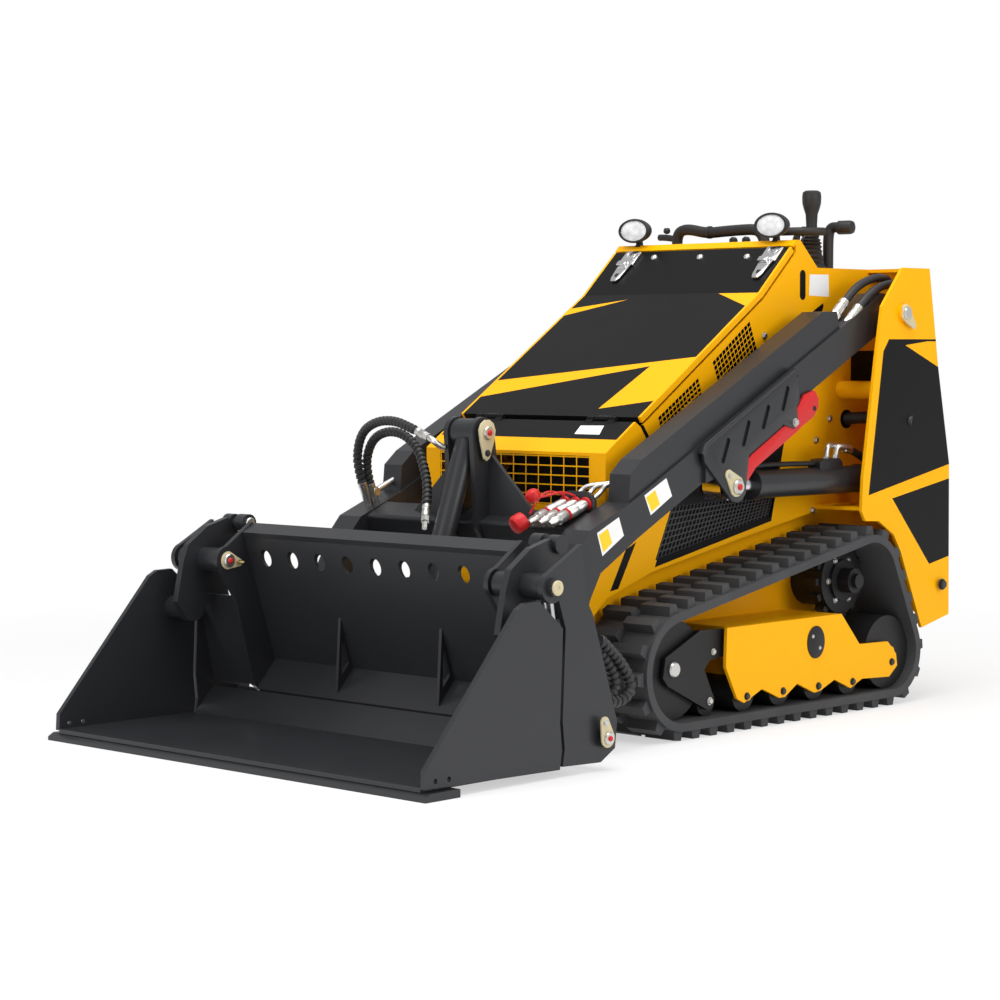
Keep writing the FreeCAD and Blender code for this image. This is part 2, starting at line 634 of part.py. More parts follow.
def crosshead():
    corner_y = "arm_foot_y - 133"
    corner_z = "arm_foot_z + 27"
    beam = [(corner_y, corner_z), (f"{corner_y} + 0.912 * beam_size", f"{corner_z} + 0.41 * beam_size"),
            (f"{corner_y} + 1.322 * beam_size", f"{corner_z} - 0.502 * beam_size"),
            (f"{corner_y} + 0.41 * beam_size", f"{corner_z} - 0.912 * beam_size")]
    plate = [("tilt_top_y - tilt_head_r", "tilt_top_z"), (f"{corner_y} - 4", f"{corner_z} - 14"),
             (f"{corner_y} + 0.41 * beam_size", f"{corner_z} - 0.912 * beam_size"),
             (f"{corner_y} + 1.322 * beam_size", f"{corner_z} - 0.502 * beam_size"),
             (f"{corner_y} + 0.95 * beam_size", f"{corner_z} + 0.45 * beam_size"),
             ("tilt_top_y + tilt_head_r", "tilt_top_z")]
    pieces = [slab("crosshead_beam", beam, "-arm_x", "2 * arm_x", rounds=[(8, [0, 1, 2, 3])])]
    rib_foot = "tilt_plate_x + tilt_plate_thick + 150"
    for side in SIDES:
        label = hand(side)
        pieces.append(slab(f"crosshead_plate_{label}", plate, "tilt_plate_x", "tilt_plate_thick", side))
        pieces.append(rod(f"crosshead_boss_{label}", *TILT_TOP, "tilt_plate_x", "tilt_plate_thick",
                          "tilt_head_r", side))
        pieces.append(rod(f"crosshead_pin_head_{label}", *TILT_TOP, "tilt_plate_x",
                          "tilt_plate_thick + 10", "big_pin_r + 4", side))
        rib = [(f"{side} * tilt_plate_x", "tilt_top_z - 50"), (f"{side} * (tilt_plate_x + tilt_plate_thick + 8)",
               "tilt_top_z - 50"), (f"{side} * ({rib_foot})", f"{corner_z} + 8"), (f"{side} * tilt_plate_x",
               f"{corner_z} + 8")]
        pieces.append(slab(f"crosshead_rib_{label}", rib, f"-({corner_y}) - 42", 10, plane="XZ_Plane"))
    pieces.append(rod("crosshead_pin", *TILT_TOP, "-tilt_plate_x", "2 * tilt_plate_x", "big_pin_r"))
    node("crosshead", fuse("Crosshead", pieces))


crosshead()


# ---- Hoses: straight runs joined by tangent arcs ----

def hose(name, points, radius):
    """Round hose along a route; each bend's arc takes 0.45 of the shorter run beside it."""
    places = [FreeCAD.Vector(*(worth(formula) for formula in point)) for point in points]
    edges = []
    begin = places[0]
    radii = []
    for before, corner, after in zip(places, places[1:], places[2:]):
        back = (before - corner).normalize()
        ahead = (after - corner).normalize()
        half_turn = (math.pi - back.getAngle(ahead)) / 2
        cut_back = 0.45 * min((before - corner).Length, (after - corner).Length)
        bend_r = cut_back / math.tan(half_turn)
        radii.append(bend_r)
        start = corner + back * cut_back
        end = corner + ahead * cut_back
        towards = (back + ahead).normalize()
        middle = corner + towards * (bend_r / math.cos(half_turn) - bend_r)
        edges.append(Part.LineSegment(begin, start).toShape())
        edges.append(Part.Arc(start, middle, end).toShape())
        begin = end
    edges.append(Part.LineSegment(begin, places[-1]).toShape())
    route = Part.Wire(edges)
    ring = Part.Wire([Part.Circle(places[0], places[1] - places[0], radius).toShape()])
    feature = doc.addObject("Part::Feature", name)
    feature.Shape = route.makePipeShell([ring], True, False)
    share = feature.Shape.Volume / (math.pi * radius ** 2 * route.Length)
    print(f"{name}: bend radii {', '.join(str(round(r)) for r in radii)} mm, volume share {share:.3f}")
    return feature


def crossing_hoses():
    """Pair from the top of the right arm over to the tilt cylinder's bracket."""
    arm_middle = "-arm_x - arm_width / 2"
    inside_plate = "3 - tilt_plate_x - tilt_plate_thick"
    upper = [(arm_middle, 744, 480), (arm_middle, 735, 535), (f"{arm_middle} + 9", 722, 592),
             (f"{arm_middle} + 38", 708, 640), (f"{arm_middle} + 90", 695, 670), (f"{arm_middle} + 152", 686, 676),
             (f"{arm_middle} + 212", 683, 652), (f"{arm_middle} + 258", 686, 628), (inside_plate, 690, 620)]
    lower = [(arm_middle, 772, 492), (arm_middle, 764, 530), (f"{arm_middle} + 10", 752, 574),
             (f"{arm_middle} + 42", 736, 612), (f"{arm_middle} + 96", 720, 634), (f"{arm_middle} + 155", 706, 624),
             (f"{arm_middle} + 205", 697, 594), (f"{arm_middle} + 254", 692, 574), (inside_plate, 690, 566)]
    for name, route in (("hose_cross_upper", upper), ("hose_cross_lower", lower)):
        node(name, hose("Solid_" + name, route, 8))


crossing_hoses()


# ---- Auxiliary couplings on the beam's left end, and the red arm lock stored under the left arm ----

def couplers():
    plate = [("arm_foot_y - 57", "arm_foot_z + 44"), ("arm_foot_y - 57", "arm_foot_z + 100"),
             ("arm_foot_y - 49", "arm_foot_z + 100"), ("arm_foot_y - 49", "arm_foot_z + 44")]
    base = ("arm_foot_y - 57", "arm_foot_z + 75")
    tip = ("arm_foot_y - 178", "arm_foot_z + 35")
    begin = ("arm_foot_y - 49", "arm_foot_z + 75")
    pieces = [slab("coupler_plate", plate, "arm_x - 98", 98)]
    for index, x in enumerate(("arm_x - 78", "arm_x - 48", "arm_x - 20")):
        pieces.append(ram(f"coupler_body_{index}", x, base, tip, -4, 66, 12))
        pieces.append(ram(f"coupler_collar_{index}", x, base, tip, 26, 20, 13))
        pieces.append(ram(f"coupler_neck_{index}", x, base, tip, 60, 28, 9))
        pieces.append(ram(f"coupler_tip_{index}", x, base, tip, 86, 40, 11))
        pieces.append(ram(f"coupler_nut_{index}", x, begin, ("arm_foot_y + 30", "arm_foot_z + 105"), -4, 18, 10))
    node("couplers", fuse("Couplers", pieces))


couplers()


def arm_lock():
    outline = [(1182, 560), (1186, 546), (1230, 566), (1350, 634), (1418, 668), (1428, 690), (1410, 712),
               (1392, 708), (1340, 668)]
    hole = [(1410, 690, 9)]
    start = "arm_x + arm_width - 12"
    node("arm_lock", slab("ArmLock", outline, start, 12, circles=hole))


arm_lock()


# ---- Chassis: lower box between the tracks, sills over them and the engine on top ----

SILL = [("nose_y + 60", 300), (1000, 348), (1317, 406), (1583, 452), ("rear_y - 22", 452)]


def chassis():
    half = "chassis_half"
    base = [("nose_y + skin + 1", 252), ("nose_y + 120", "chassis_bottom"), ("rear_y - 60", "chassis_bottom"),
            ("rear_y - 30", "chassis_bottom + 40"), ("rear_y - 22", "chassis_top"),
            ("nose_y + 60", "chassis_top"), ("nose_y + skin + 1", 312)]
    wall = [("nose_y + 66", "chassis_top - 40"), ("rear_y - 22", "chassis_top - 40")] + SILL[:0:-1]
    wall.append(("nose_y + 66", "chassis_top - 24"))
    pieces = [slab("chassis_base", base, f"-{half}", f"2 * {half}")]
    sill = SILL + [(y, f"{z} + 8") for y, z in reversed(SILL)]
    for side in SIDES:
        pieces.append(slab(f"chassis_wall_{hand(side)}", wall, f"{half} - 8", 8, side))
        pieces.append(slab(f"chassis_sill_{hand(side)}", sill, f"{half} - 8", "hull_half - skin - chassis_half + 8",
                           side))
    for y in ("roller_first_y", "roller_first_y + 2.5 * roller_pitch"):
        length = "track_x + frame_inset"
        pieces.append(rod("chassis_cross_tube", y, "frame_top - 54", f"-({length})", f"2 * ({length})", 26))
    node("chassis", fuse("Chassis", pieces))


chassis()
node("engine_block", together("EngineBlock", [block("engine_box", -190, 1060, "chassis_top", 380, 400, 365)]))


# ---- Hull skins: side walls, bent front with its grille, cowl and rear wall ----

def grown(shape, margin):
    """Corners of a window moved outwards from its middle."""
    middle_y = sum(y for y, _ in shape) / len(shape)
    middle_z = sum(z for _, z in shape) / len(shape)
    corners = []
    for y, z in shape:
        reach = math.hypot(y - middle_y, z - middle_z)
        corners.append((y + margin * (y - middle_y) / reach, z + margin * (z - middle_z) / reach))
    return corners


def mesh_cells(name, corners, columns, rows, bar, start, thick):
    """Four-cornered holes that leave crossed bars in a window."""
    low, high, far_high, far_low = (FreeCAD.Vector(0, y, z) for y, z in corners)

    def inside(u, v):
        left = low + (far_low - low) * v
        right = high + (far_high - high) * v
        return left + (right - left) * u

    margin_u = bar / 2 / (high - low).Length
    margin_v = bar / 2 / (far_low - low).Length
    holes = []
    for column in range(columns):
        for row in range(rows):
            u0, u1 = column / columns + margin_u, (column + 1) / columns - margin_u
            v0, v1 = row / rows + margin_v, (row + 1) / rows - margin_v
            loop = [inside(u0, v0), inside(u1, v0), inside(u1, v1), inside(u0, v1), inside(u0, v0)]
            hole = Part.Face(Part.makePolygon(loop)).extrude(FreeCAD.Vector(thick, 0, 0))
            hole.translate(FreeCAD.Vector(start, 0, 0))
            holes.append(hole)
    feature = doc.addObject("Part::Feature", name)
    feature.Shape = Part.makeCompound(holes)
    return feature


UPPER_WINDOWS = [[(1206, 806), (1340, 899), (1366, 835), (1234, 741)], [(1018, 686), (1157, 772), (1175, 716), (1036, 635)]]
LOWER_WINDOW = [(1010, 372), (1420, 450), (1440, 500), (1066, 488)]


def side_wall(side):
    name = f"side_wall_{hand(side)}"
    outline = [("nose_y", 250), ("nose_y", 320), ("front_y", 415), ("front_y", "grille_high + 7"),
               ("lid_low_y - 7.5", "lid_low_z - 4.9"), ("lid_low_y + 11", "lid_low_z - 17"),
               ("lid_crease_y + 12", "lid_crease_z - 16"), ("lid_high_y + 16", "lid_high_z - 13"),
               ("lid_high_y + 16", "lid_high_z + 6.3"),
               ("apex_y + 3", "apex_z - skin"), ("apex_y + 13", "apex_z - skin"), ("deck_y - 3", "deck_z - skin"),
               ("rear_top_y - 12", "deck_z - skin"), ("rear_y - 65", 795), ("rear_y - 16", 560),
               ("rear_y - 16", 452)] + SILL[-2::-1]
    sheet_body = slab(name + "_sheet", outline, "hull_half - skin", "skin", side)
    wall_x = worth("hull_half - skin")
    reach = worth("skin")
    begin = wall_x - 1 if side > 0 else -wall_x - reach - 1
    holes = [mesh_cells(f"{name}_mesh_{index}", corners, 12, rows, 4.5, begin, reach + 2)
             for index, (corners, rows) in enumerate(zip(UPPER_WINDOWS, (6, 5)))]
    holes.append(slab(name + "_window", LOWER_WINDOW, "hull_half - skin - 1", "skin + 2", side))
    node(name, cut(f"SideWall{side}", sheet_body, holes))

    backing = [slab(f"{name}_backing_{index}", grown(corners, 7), "hull_half - skin - 3", 3, side)
               for index, corners in enumerate(UPPER_WINDOWS)]
    mesh_sheet = slab(name + "_mesh_sheet", grown(LOWER_WINDOW, 9), "hull_half - skin - 3", 3, side)
    begin = wall_x - 4 if side > 0 else -wall_x - 1
    mesh_holes = mesh_cells(name + "_lower_mesh", LOWER_WINDOW, 30, 8, 4, begin, 5)
    backing.append(cut(name + "_lower", mesh_sheet, [mesh_holes]))
    node(f"side_mesh_{hand(side)}", together(f"SideMesh{side}", backing))


for side in SIDES:
    side_wall(side)


def front_panel():
    inner = "hull_half - skin"
    outside = [("nose_y + skin", 246), ("nose_y", 250), ("nose_y", 320), ("front_y", 415), ("front_y", "grille_high + 7"),
               ("lid_low_y - 7.5", "lid_low_z - 4.9")]
    inside = [("lid_low_y - 4.2", "lid_low_z - 9.9"), ("front_y + skin", "grille_high + 3"),
              ("front_y + skin", 412), ("nose_y + skin", 318), ("nose_y + skin", 250)]
    leaf = [("lid_low_y - 1", "lid_low_z + 4"), ("lid_low_y - 15", "lid_low_z - 9.8"),
            ("lid_low_y - 12.3", "lid_low_z - 13.6"), ("lid_low_y + 2", "lid_low_z - 4.6")]
    skin_body = slab("front_sheet", outside + inside, f"-({inner})", f"2 * ({inner})")
    pieces = [skin_body]
    pin_start = "hinge_x - hinge_width / 2 - 2"
    for side in SIDES:
        label = hand(side)
        for start, kind in ((pin_start, "low"), ("hinge_x + hinge_width + 2", "high")):
            pieces.append(slab(f"hinge_leaf_{kind}_{label}", leaf, start, "hinge_width / 2", side))
            pieces.append(rod(f"hinge_eye_{kind}_{label}", "lid_low_y", "lid_low_z", start, "hinge_width / 2", "hinge_r",
                              side))
        pieces.append(rod(f"hinge_pin_{label}", "lid_low_y", "lid_low_z", pin_start, "2 * hinge_width + 4",
                          "hinge_pin_r", side))
    opening = block("front_opening", "-grille_half", "front_y - 2", "grille_low", "2 * grille_half", "skin + 4",
                    "grille_high - grille_low")
    node("front_panel", cut("FrontPanel", fuse("front_raw", pieces), [opening]))


front_panel()


def front_grille():
    pieces = []
    across = "2 * grille_half"
    tall = "grille_high - grille_low"
    for index in range(13):
        x = f"-grille_half + {index} * ({across} - 5) / 12"
        pieces.append(block("grille_upright", x, "front_y + 1", "grille_low", 5, 3, tall))
    for index in range(6):
        z = f"grille_low + {index} * ({tall} - 5) / 5"
        pieces.append(block("grille_bar", "-grille_half", "front_y + 1", z, across, 3, 5))
    node("front_grille", fuse("FrontGrille", pieces))


front_grille()


def cowl():
    inner = "hull_half - skin"
    outside = [("lid_high_y + 4", "lid_high_z + 3.6"), ("apex_y", "apex_z"), ("apex_y + 16", "apex_z"),
               ("deck_y", "deck_z"), ("rear_top_y - 6", "deck_z")]
    inside = [("rear_top_y - 6", "deck_z - skin"), ("deck_y - 3", "deck_z - skin"), ("apex_y + 13", "apex_z - skin"),
              ("apex_y + 3", "apex_z - skin"), ("lid_high_y + 16", "lid_high_z + 6.3"),
              ("lid_high_y + 8", "lid_high_z - 1")]
    node("cowl", slab("Cowl", outside + inside, "-hull_half", "2 * hull_half"))


cowl()


PLATFORM_AXIS = "platform_y + platform_thick / 2"


def rear_wall():
    half = "tower_outer - tower_thick"
    outside = [("rear_top_y", "deck_z"), ("rear_y - 53", 795), ("rear_y - 3", 560), ("rear_y", 196)]
    inside = [("rear_y - skin", 196), ("rear_y - skin - 3", 560), ("rear_y - 53 - skin", 795),
              ("rear_top_y - skin", "deck_z")]
    pieces = [slab("rear_sheet", outside + inside, f"-({half})", f"2 * ({half})")]
    bores = []
    lug_x = "platform_half + side_gap"
    lug_start = "rear_y - 2"
    for side in SIDES:
        label = hand(side)
        pieces.append(block(f"rear_lug_{label}", lug_x, lug_start, "platform_z - 2 * platform_pin_r", "platform_lug",
                            f"{PLATFORM_AXIS} + 2 * platform_pin_r - ({lug_start})", "4 * platform_pin_r", side))
        bores.append(rod(f"rear_lug_bore_{label}", PLATFORM_AXIS, "platform_z", lug_x, "platform_lug",
                         "platform_pin_r + pin_fit", side))
    node("rear_wall", cut("RearWall", fuse("rear_raw", pieces), bores))


rear_wall()


# ---- Hood lid: sloping panel with a steeper header, hinged at its front edge ----

def hood_lid():
    outline = [("lid_low_y + 7.5", "lid_low_z + 4.9"), ("lid_crease_y", "lid_crease_z"), ("lid_high_y", "lid_high_z"),
               ("lid_high_y + 0.67 * lid_thick", "lid_high_z - 0.74 * lid_thick"),
               ("lid_crease_y + 0.61 * lid_thick", "lid_crease_z - 0.79 * lid_thick"),
               ("lid_low_y + 7.5 + 0.55 * lid_thick", "lid_low_z + 4.9 - 0.835 * lid_thick")]
    leaf = [("lid_low_y - 2", "lid_low_z + 4.6"), ("lid_low_y + 12.3", "lid_low_z + 8.1"),
            ("lid_low_y + 15", "lid_low_z + 4.4"), ("lid_low_y + 1", "lid_low_z - 4")]
    pieces = [slab("lid_sheet", outline, "-hull_half", "2 * hull_half")]
    bores = []
    for side in SIDES:
        label = hand(side)
        pieces.append(slab(f"lid_leaf_{label}", leaf, "hinge_x", "hinge_width", side))
        pieces.append(rod(f"lid_eye_{label}", "lid_low_y", "lid_low_z", "hinge_x", "hinge_width", "hinge_r", side))
        bores.append(rod(f"lid_bore_{label}", "lid_low_y", "lid_low_z", "hinge_x - 1", "hinge_width + 2",
                         "hinge_pin_r + pin_fit", side))
    node("hood_lid", cut("HoodLid", fuse("lid_raw", pieces), bores))


hood_lid()


# ---- Towers: outer plates that carry the arm and lift pins ----

def tower(side):
    name = f"tower_{hand(side)}"
    reach_top = "(sprocket_belt_r + lug_height + tower_gap)"
    reach_low = "(rear_belt_r + lug_height + tower_gap)"
    outline = [("arm_pivot_y + 1", "deck_z"), ("rear_top_y", "deck_z"), ("rear_y - 53", 795), ("rear_y - 3", 560),
               ("rear_y", 196), (f"rear_wheel_y + {reach_low} - 8", 172),
               (f"rear_wheel_y + 0.891 * {reach_low}", f"rear_wheel_z + 0.453 * {reach_low}"),
               (f"sprocket_y + 0.891 * {reach_top}", f"sprocket_z + 0.453 * {reach_top}"),
               (f"sprocket_y + 0.69 * {reach_top}", f"sprocket_z + 0.74 * {reach_top}"),
               (f"sprocket_y + 0.27 * {reach_top}", f"sprocket_z + {reach_top} * 0.98"),
               (f"sprocket_y - 0.1 * {reach_top}", f"sprocket_z + {reach_top}"),
               ("lift_base_y - 106", "lift_base_z - 70"), ("lift_base_y - 101", "lift_base_z + 8"),
               ("arm_pivot_y - 103", "arm_pivot_z - 103"), ("arm_pivot_y - 80", "arm_pivot_z + 14")]
    inner = "tower_outer - tower_thick"
    gap = f"{inner} - hull_half"
    shelf = [("lift_base_y - 100", 461), ("rear_y - 14", 461), ("rear_y - 14", 469), ("lift_base_y - 100", 469)]
    pieces = [
        slab(name + "_plate", outline, inner, "tower_thick", side),
        slab(name + "_shelf", shelf, "hull_half", gap, side),
        rod(name + "_arm_pin", "arm_pivot_y", "arm_pivot_z", "hull_half", f"{gap} + tower_thick + 8", "arm_pin_r",
            side),
        rod(name + "_lift_pin", *LIFT_BASE, "hull_half", f"{gap} + tower_thick", "big_pin_r", side),
        rod(name + "_brace", 1690, 738, "hull_half", gap, 21, side),
        block(name + "_cap", "hull_half", "arm_pivot_y + arm_end_r + 24", "deck_z - 8", gap,
              "rear_top_y - skin - 2 - arm_pivot_y - arm_end_r - 24", 8, side),
    ]
    node(name, fuse(f"Tower{side}", pieces))


for side in SIDES:
    tower(side)


# ---- Tracks: each is one endless rubber belt round idler, sprocket and rear wheel, with bar lugs ----

def belt_path(shrink):
    """Straight runs and arcs of the loop at some depth under the belt's outer face.

    Each item is (start, end, centre); the centre is None on a straight run."""
    wheels = [(sheet.idler_y, sheet.idler_z, sheet.idler_belt_r - shrink),
              (sheet.sprocket_y, sheet.sprocket_z, sheet.sprocket_belt_r - shrink),
              (sheet.rear_wheel_y, sheet.rear_wheel_z, sheet.rear_belt_r - shrink)]
    leave, meet = [], []
    for index, (y, z, radius) in enumerate(wheels):
        next_y, next_z, next_radius = wheels[(index + 1) % 3]
        reach = math.hypot(next_y - y, next_z - z)
        angle = math.atan2(next_z - z, next_y - y) + math.acos((radius - next_radius) / reach)
        outward = FreeCAD.Vector(0, math.cos(angle), math.sin(angle))
        leave.append(FreeCAD.Vector(0, y, z) + outward * radius)
        meet.append(FreeCAD.Vector(0, next_y, next_z) + outward * next_radius)
    path = []
    for index, (y, z, radius) in enumerate(wheels):
        path.append((meet[index - 1], leave[index], FreeCAD.Vector(0, y, z)))
        path.append((leave[index], meet[index], None))
    return path


def belt_face(shrink):
    edges = []
    for start, end, centre in belt_path(shrink):
        if centre is None:
            edges.append(Part.LineSegment(start, end).toShape())
        else:
            middle = (start - centre + end - centre).normalize()
            edges.append(Part.Arc(start, centre + middle * (start - centre).Length, end).toShape())
    return Part.Face(Part.Wire(edges))


def belt_stations(count):
    """Evenly spaced points on the belt's outer face, each with its outward direction."""
    path = belt_path(0)
    lengths = []
    for start, end, centre in path:
        if centre is None:
            lengths.append((end - start).Length)
        else:
            lengths.append((start - centre).getAngle(end - centre) * (start - centre).Length)
    stations = []
    for index in range(count):
        along = (index + 0.5) * sum(lengths) / count
        for (start, end, centre), length in zip(path, lengths):
            if along <= length:
                break
            along -= length
        if centre is None:
            forward = (end - start).normalize()
            place = start + forward * along
            outward = FreeCAD.Vector(0, -forward.z, forward.y)
        else:
            turn = FreeCAD.Rotation(FreeCAD.Vector(1, 0, 0), -math.degrees(along / (start - centre).Length))
            outward = turn.multVec(start - centre).normalize()
            place = centre + outward * (start - centre).Length
        stations.append((place, outward))
    return stations


def track(side):
    width = worth("track_width")
    rim = 8
    inner_x = worth("track_x") if side > 0 else -worth("track_x") - width
    across = FreeCAD.Vector(width, 0, 0)
    belt = belt_face(0).extrude(across).cut(belt_face(sheet.belt_thick).extrude(across))
    foot = sheet.lug_length / 2
    crown = foot * 0.66
    lugs = []
    for index, (place, outward) in enumerate(belt_stations(2 * round(sheet.lug_count))):
        start = rim if index % 2 else width / 2
        corners = [FreeCAD.Vector(start, y, z) for y, z in ((-foot, -3), (foot, -3), (crown, sheet.lug_height),
                                                            (-crown, sheet.lug_height), (-foot, -3))]
        lug = Part.Face(Part.makePolygon(corners)).extrude(FreeCAD.Vector(width / 2 - rim, 0, 0))
        lug.rotate(FreeCAD.Vector(), FreeCAD.Vector(1, 0, 0), math.degrees(math.atan2(-outward.y, outward.z)))
        lug.translate(place)
        lugs.append(lug)
    solid = belt.fuse(lugs).removeSplitter()
    solid.translate(FreeCAD.Vector(inner_x, 0, 0))
    feature = doc.addObject("Part::Feature", f"Track{side}")
    feature.Shape = solid
    node(f"track_{hand(side)}", feature)


for side in SIDES:
    track(side)


FLOOR_INSIDE = "lug_height + belt_thick + belt_play"
ROLLER_Z = f"{FLOOR_INSIDE} + roller_r"
LEAD_ROLLER = ("lead_roller_y", f"{FLOOR_INSIDE} + lead_roller_r")


def sprocket(side):
    name = f"sprocket_{hand(side)}"
    wheel_r = "(sprocket_belt_r - belt_thick - belt_play)"
    reach = f"({wheel_r} - 1)"
    place = ("sprocket_y", "sprocket_z")
    pieces = [
        rod(name + "_wheel", *place, "track_x + 50", 38, f"{wheel_r} - 14", side),
        rod(name + "_ring", *place, "track_x + 88", 8, 48, side),
        rod(name + "_hub", *place, "track_x + 88", 40, 29, side),
        rod(name + "_nut", *place, "track_x + 128", 12, 17, side),
        rod(name + "_motor", *place, "chassis_half", "track_x + 50 - chassis_half", 62, side),
    ]
    for index in range(7):
        angle = math.pi * index / 7
        tooth = block(f"{name}_tooth_{index}", "track_x + 56", 0, 0, 26, f"2 * {reach}", 16, side)
        tooth.Placement = FreeCAD.Placement(FreeCAD.Vector(), FreeCAD.Rotation(FreeCAD.Vector(1, 0, 0),
                                                                                math.degrees(angle)))
        bind(tooth, {"Placement.Base.y": f"sprocket_y - {reach} * {math.cos(angle):.5f} + 8 * {math.sin(angle):.5f}",
                     "Placement.Base.z": f"sprocket_z - {reach} * {math.sin(angle):.5f} - 8 * {math.cos(angle):.5f}"})
        pieces.append(tooth)
    node(name, fuse(f"Sprocket{side}", pieces))


def wheels(side):
    name = f"wheels_{hand(side)}"
    width = "frame_outer - track_x - 12 - 2 * frame_thick - 12"
    start = "track_x + 12 + frame_thick + 6"
    idler = rod(name + "_idler", "idler_y", "idler_z", "track_x + 44", "fork_outer - fork_thick - track_x - 50",
                "idler_belt_r - belt_thick - belt_play", side)
    rear = rod(name + "_rear", "rear_wheel_y", "rear_wheel_z", start, width, "rear_belt_r - belt_thick - belt_play",
               side)
    places = [("idler_y", "idler_z"), ("rear_wheel_y", "rear_wheel_z")]
    pieces = [idler, rear]
    places.append(LEAD_ROLLER)
    pieces.append(rod(name + "_lead_roller", *LEAD_ROLLER, f"{start} + 2 * fork_thick",
                      f"{width} - 4 * fork_thick", "lead_roller_r", side))
    for index in range(4):
        places.append((f"roller_first_y + {index} * roller_pitch", ROLLER_Z))
        pieces.append(rod(name + "_roller", *places[-1], start, width, "roller_r", side))
    bored = []
    for index, (wheel, place) in enumerate(zip(pieces, places)):
        bore = rod(f"{name}_bore_{index}", *place, "track_x", "track_width", "axle_r + pin_fit", side)
        bored.append(cut(f"{name}_bored_{index}", wheel, [bore]))
    node(name, together(f"Wheels{side}", bored))


def track_frame(side):
    name = f"track_frame_{hand(side)}"
    low = "lug_height + belt_thick + roller_r"
    outline = [(1078, "frame_top"), (1074, 143), (1114, f"{low} - 6"), (1138, f"{low} - 17"), (1202, f"{low} + 8"),
               (1264, f"{low} - 18"), (1284, f"{low} - 18"), (1330, f"{low} + 8"), (1393, f"{low} - 19"),
               (1415, f"{low} - 17"), (1470, f"{low} + 4"), (1532, f"{low} - 22"), (1576, f"{low} - 4"),
               ("rear_wheel_y - 6", f"{low} - 9"), ("rear_wheel_y + 26", f"{low} + 15"),
               ("rear_wheel_y + 21", f"{low} + 43"), ("rear_wheel_y - 12", 150), (1566, 153), (1495, "frame_top")]
    inner_start = "track_x + frame_inset"
    outer_start = "frame_outer - frame_thick"
    pieces = []
    for start, kind in ((inner_start, "inner"), (outer_start, "outer")):
        pieces.append(slab(f"{name}_{kind}", outline, start, "frame_thick", side))
    top = [(1096, "frame_top - 8"), (1096, "frame_top"), (1492, "frame_top"), (1492, "frame_top - 8")]
    pieces.append(slab(name + "_top", top, inner_start, f"{outer_start} - ({inner_start})", side))
    places = [(f"roller_first_y + {index} * roller_pitch", ROLLER_Z) for index in range(4)]
    places.append(("rear_wheel_y", "rear_wheel_z"))
    for index, place in enumerate(places):
        pieces.append(rod(f"{name}_axle_{index}", *place, inner_start, f"frame_outer - ({inner_start})", "axle_r",
                          side))
    node(name, fuse(f"TrackFrame{side}", pieces))


def idler_fork(side):
    name = f"idler_fork_{hand(side)}"
    outline = [(1096, "frame_top - 4"), (1008, "frame_top - 1"), ("idler_y - 31", "idler_z + 30"),
               ("idler_y - 40", "idler_z - 13"), ("idler_y - 23", "idler_z - 32"), (1034, 52), (1056, 74),
               (1022, 142), (1041, 160), (1096, 165)]
    pieces = []
    for start, kind in (("track_x + 30", "inner"), ("fork_outer - fork_thick", "outer")):
        pieces.append(slab(f"{name}_{kind}", outline, start, "fork_thick", side))
    pieces.append(rod(name + "_axle", "idler_y", "idler_z", "track_x + 30", "fork_outer - track_x - 30", "axle_r",
                      side))
    pieces.append(rod(name + "_roller_axle", *LEAD_ROLLER, "track_x + 30", "fork_outer - track_x - 30", "axle_r",
                      side))
    pieces.append(block(name + "_bridge", "track_x + 30", 1052, 165, "fork_outer - track_x - 30", 24, 54, side))
    node(name, fuse(f"IdlerFork{side}", pieces))


for side in SIDES:
    sprocket(side)
    wheels(side)
    track_frame(side)
    idler_fork(side)


# ---- Operator's controls on the deck, lamps on the cowl and the folding platform behind ----

def cone(name, x, y, z, low_r, high_r, height):
    """Upright round piece that widens or narrows."""
    piece = doc.addObject("Part::Cone", name)
    bind(piece, {"Radius1": low_r, "Radius2": high_r, "Height": height, "Placement.Base.x": x,
                 "Placement.Base.y": y, "Placement.Base.z": z})
    return piece


def console():
    stick_y = "deck_y + 205"
    bar_y = "deck_y + 60"
    bar_z = "deck_z + 98"
    pieces = [
        block("console_box", -150, "deck_y + 30", "deck_z", 300, 195, 60),
        cone("stick_boot", 100, stick_y, "deck_z + 60", 30, 15, 40),
        cone("stick_shaft", 100, stick_y, "deck_z + 98", 8, 8, 60),
        cone("stick_head", 100, stick_y, "deck_z + 150", 13, 21, 46),
        rod("grab_bar", bar_y, bar_z, -190, 250, 11),
    ]
    for x in (-140, 49):
        pieces.append(cone("grab_bar_leg", x, bar_y, "deck_z + 58", 11, 11, 40))
    node("console", fuse("Console", pieces))


def oblong(name, x, y, z, run, radius, depth):
    """Level bar with round ends, seen from the front as an oval."""
    pieces = [block(name + "_middle", f"{x} - ({run})", y, f"{z} - ({radius})", f"2 * ({run})", depth,
                    f"2 * ({radius})")]
    for end in SIDES:
        tip = doc.addObject("Part::Cylinder", name + "_end")
        tip.Placement = FreeCAD.Placement(FreeCAD.Vector(), FreeCAD.Rotation(FreeCAD.Vector(1, 0, 0), -90))
        bind(tip, {"Radius": radius, "Height": depth, "Placement.Base.x": f"{x} + {end} * ({run})",
                   "Placement.Base.y": y, "Placement.Base.z": z})
        pieces.append(tip)
    return fuse(name, pieces)


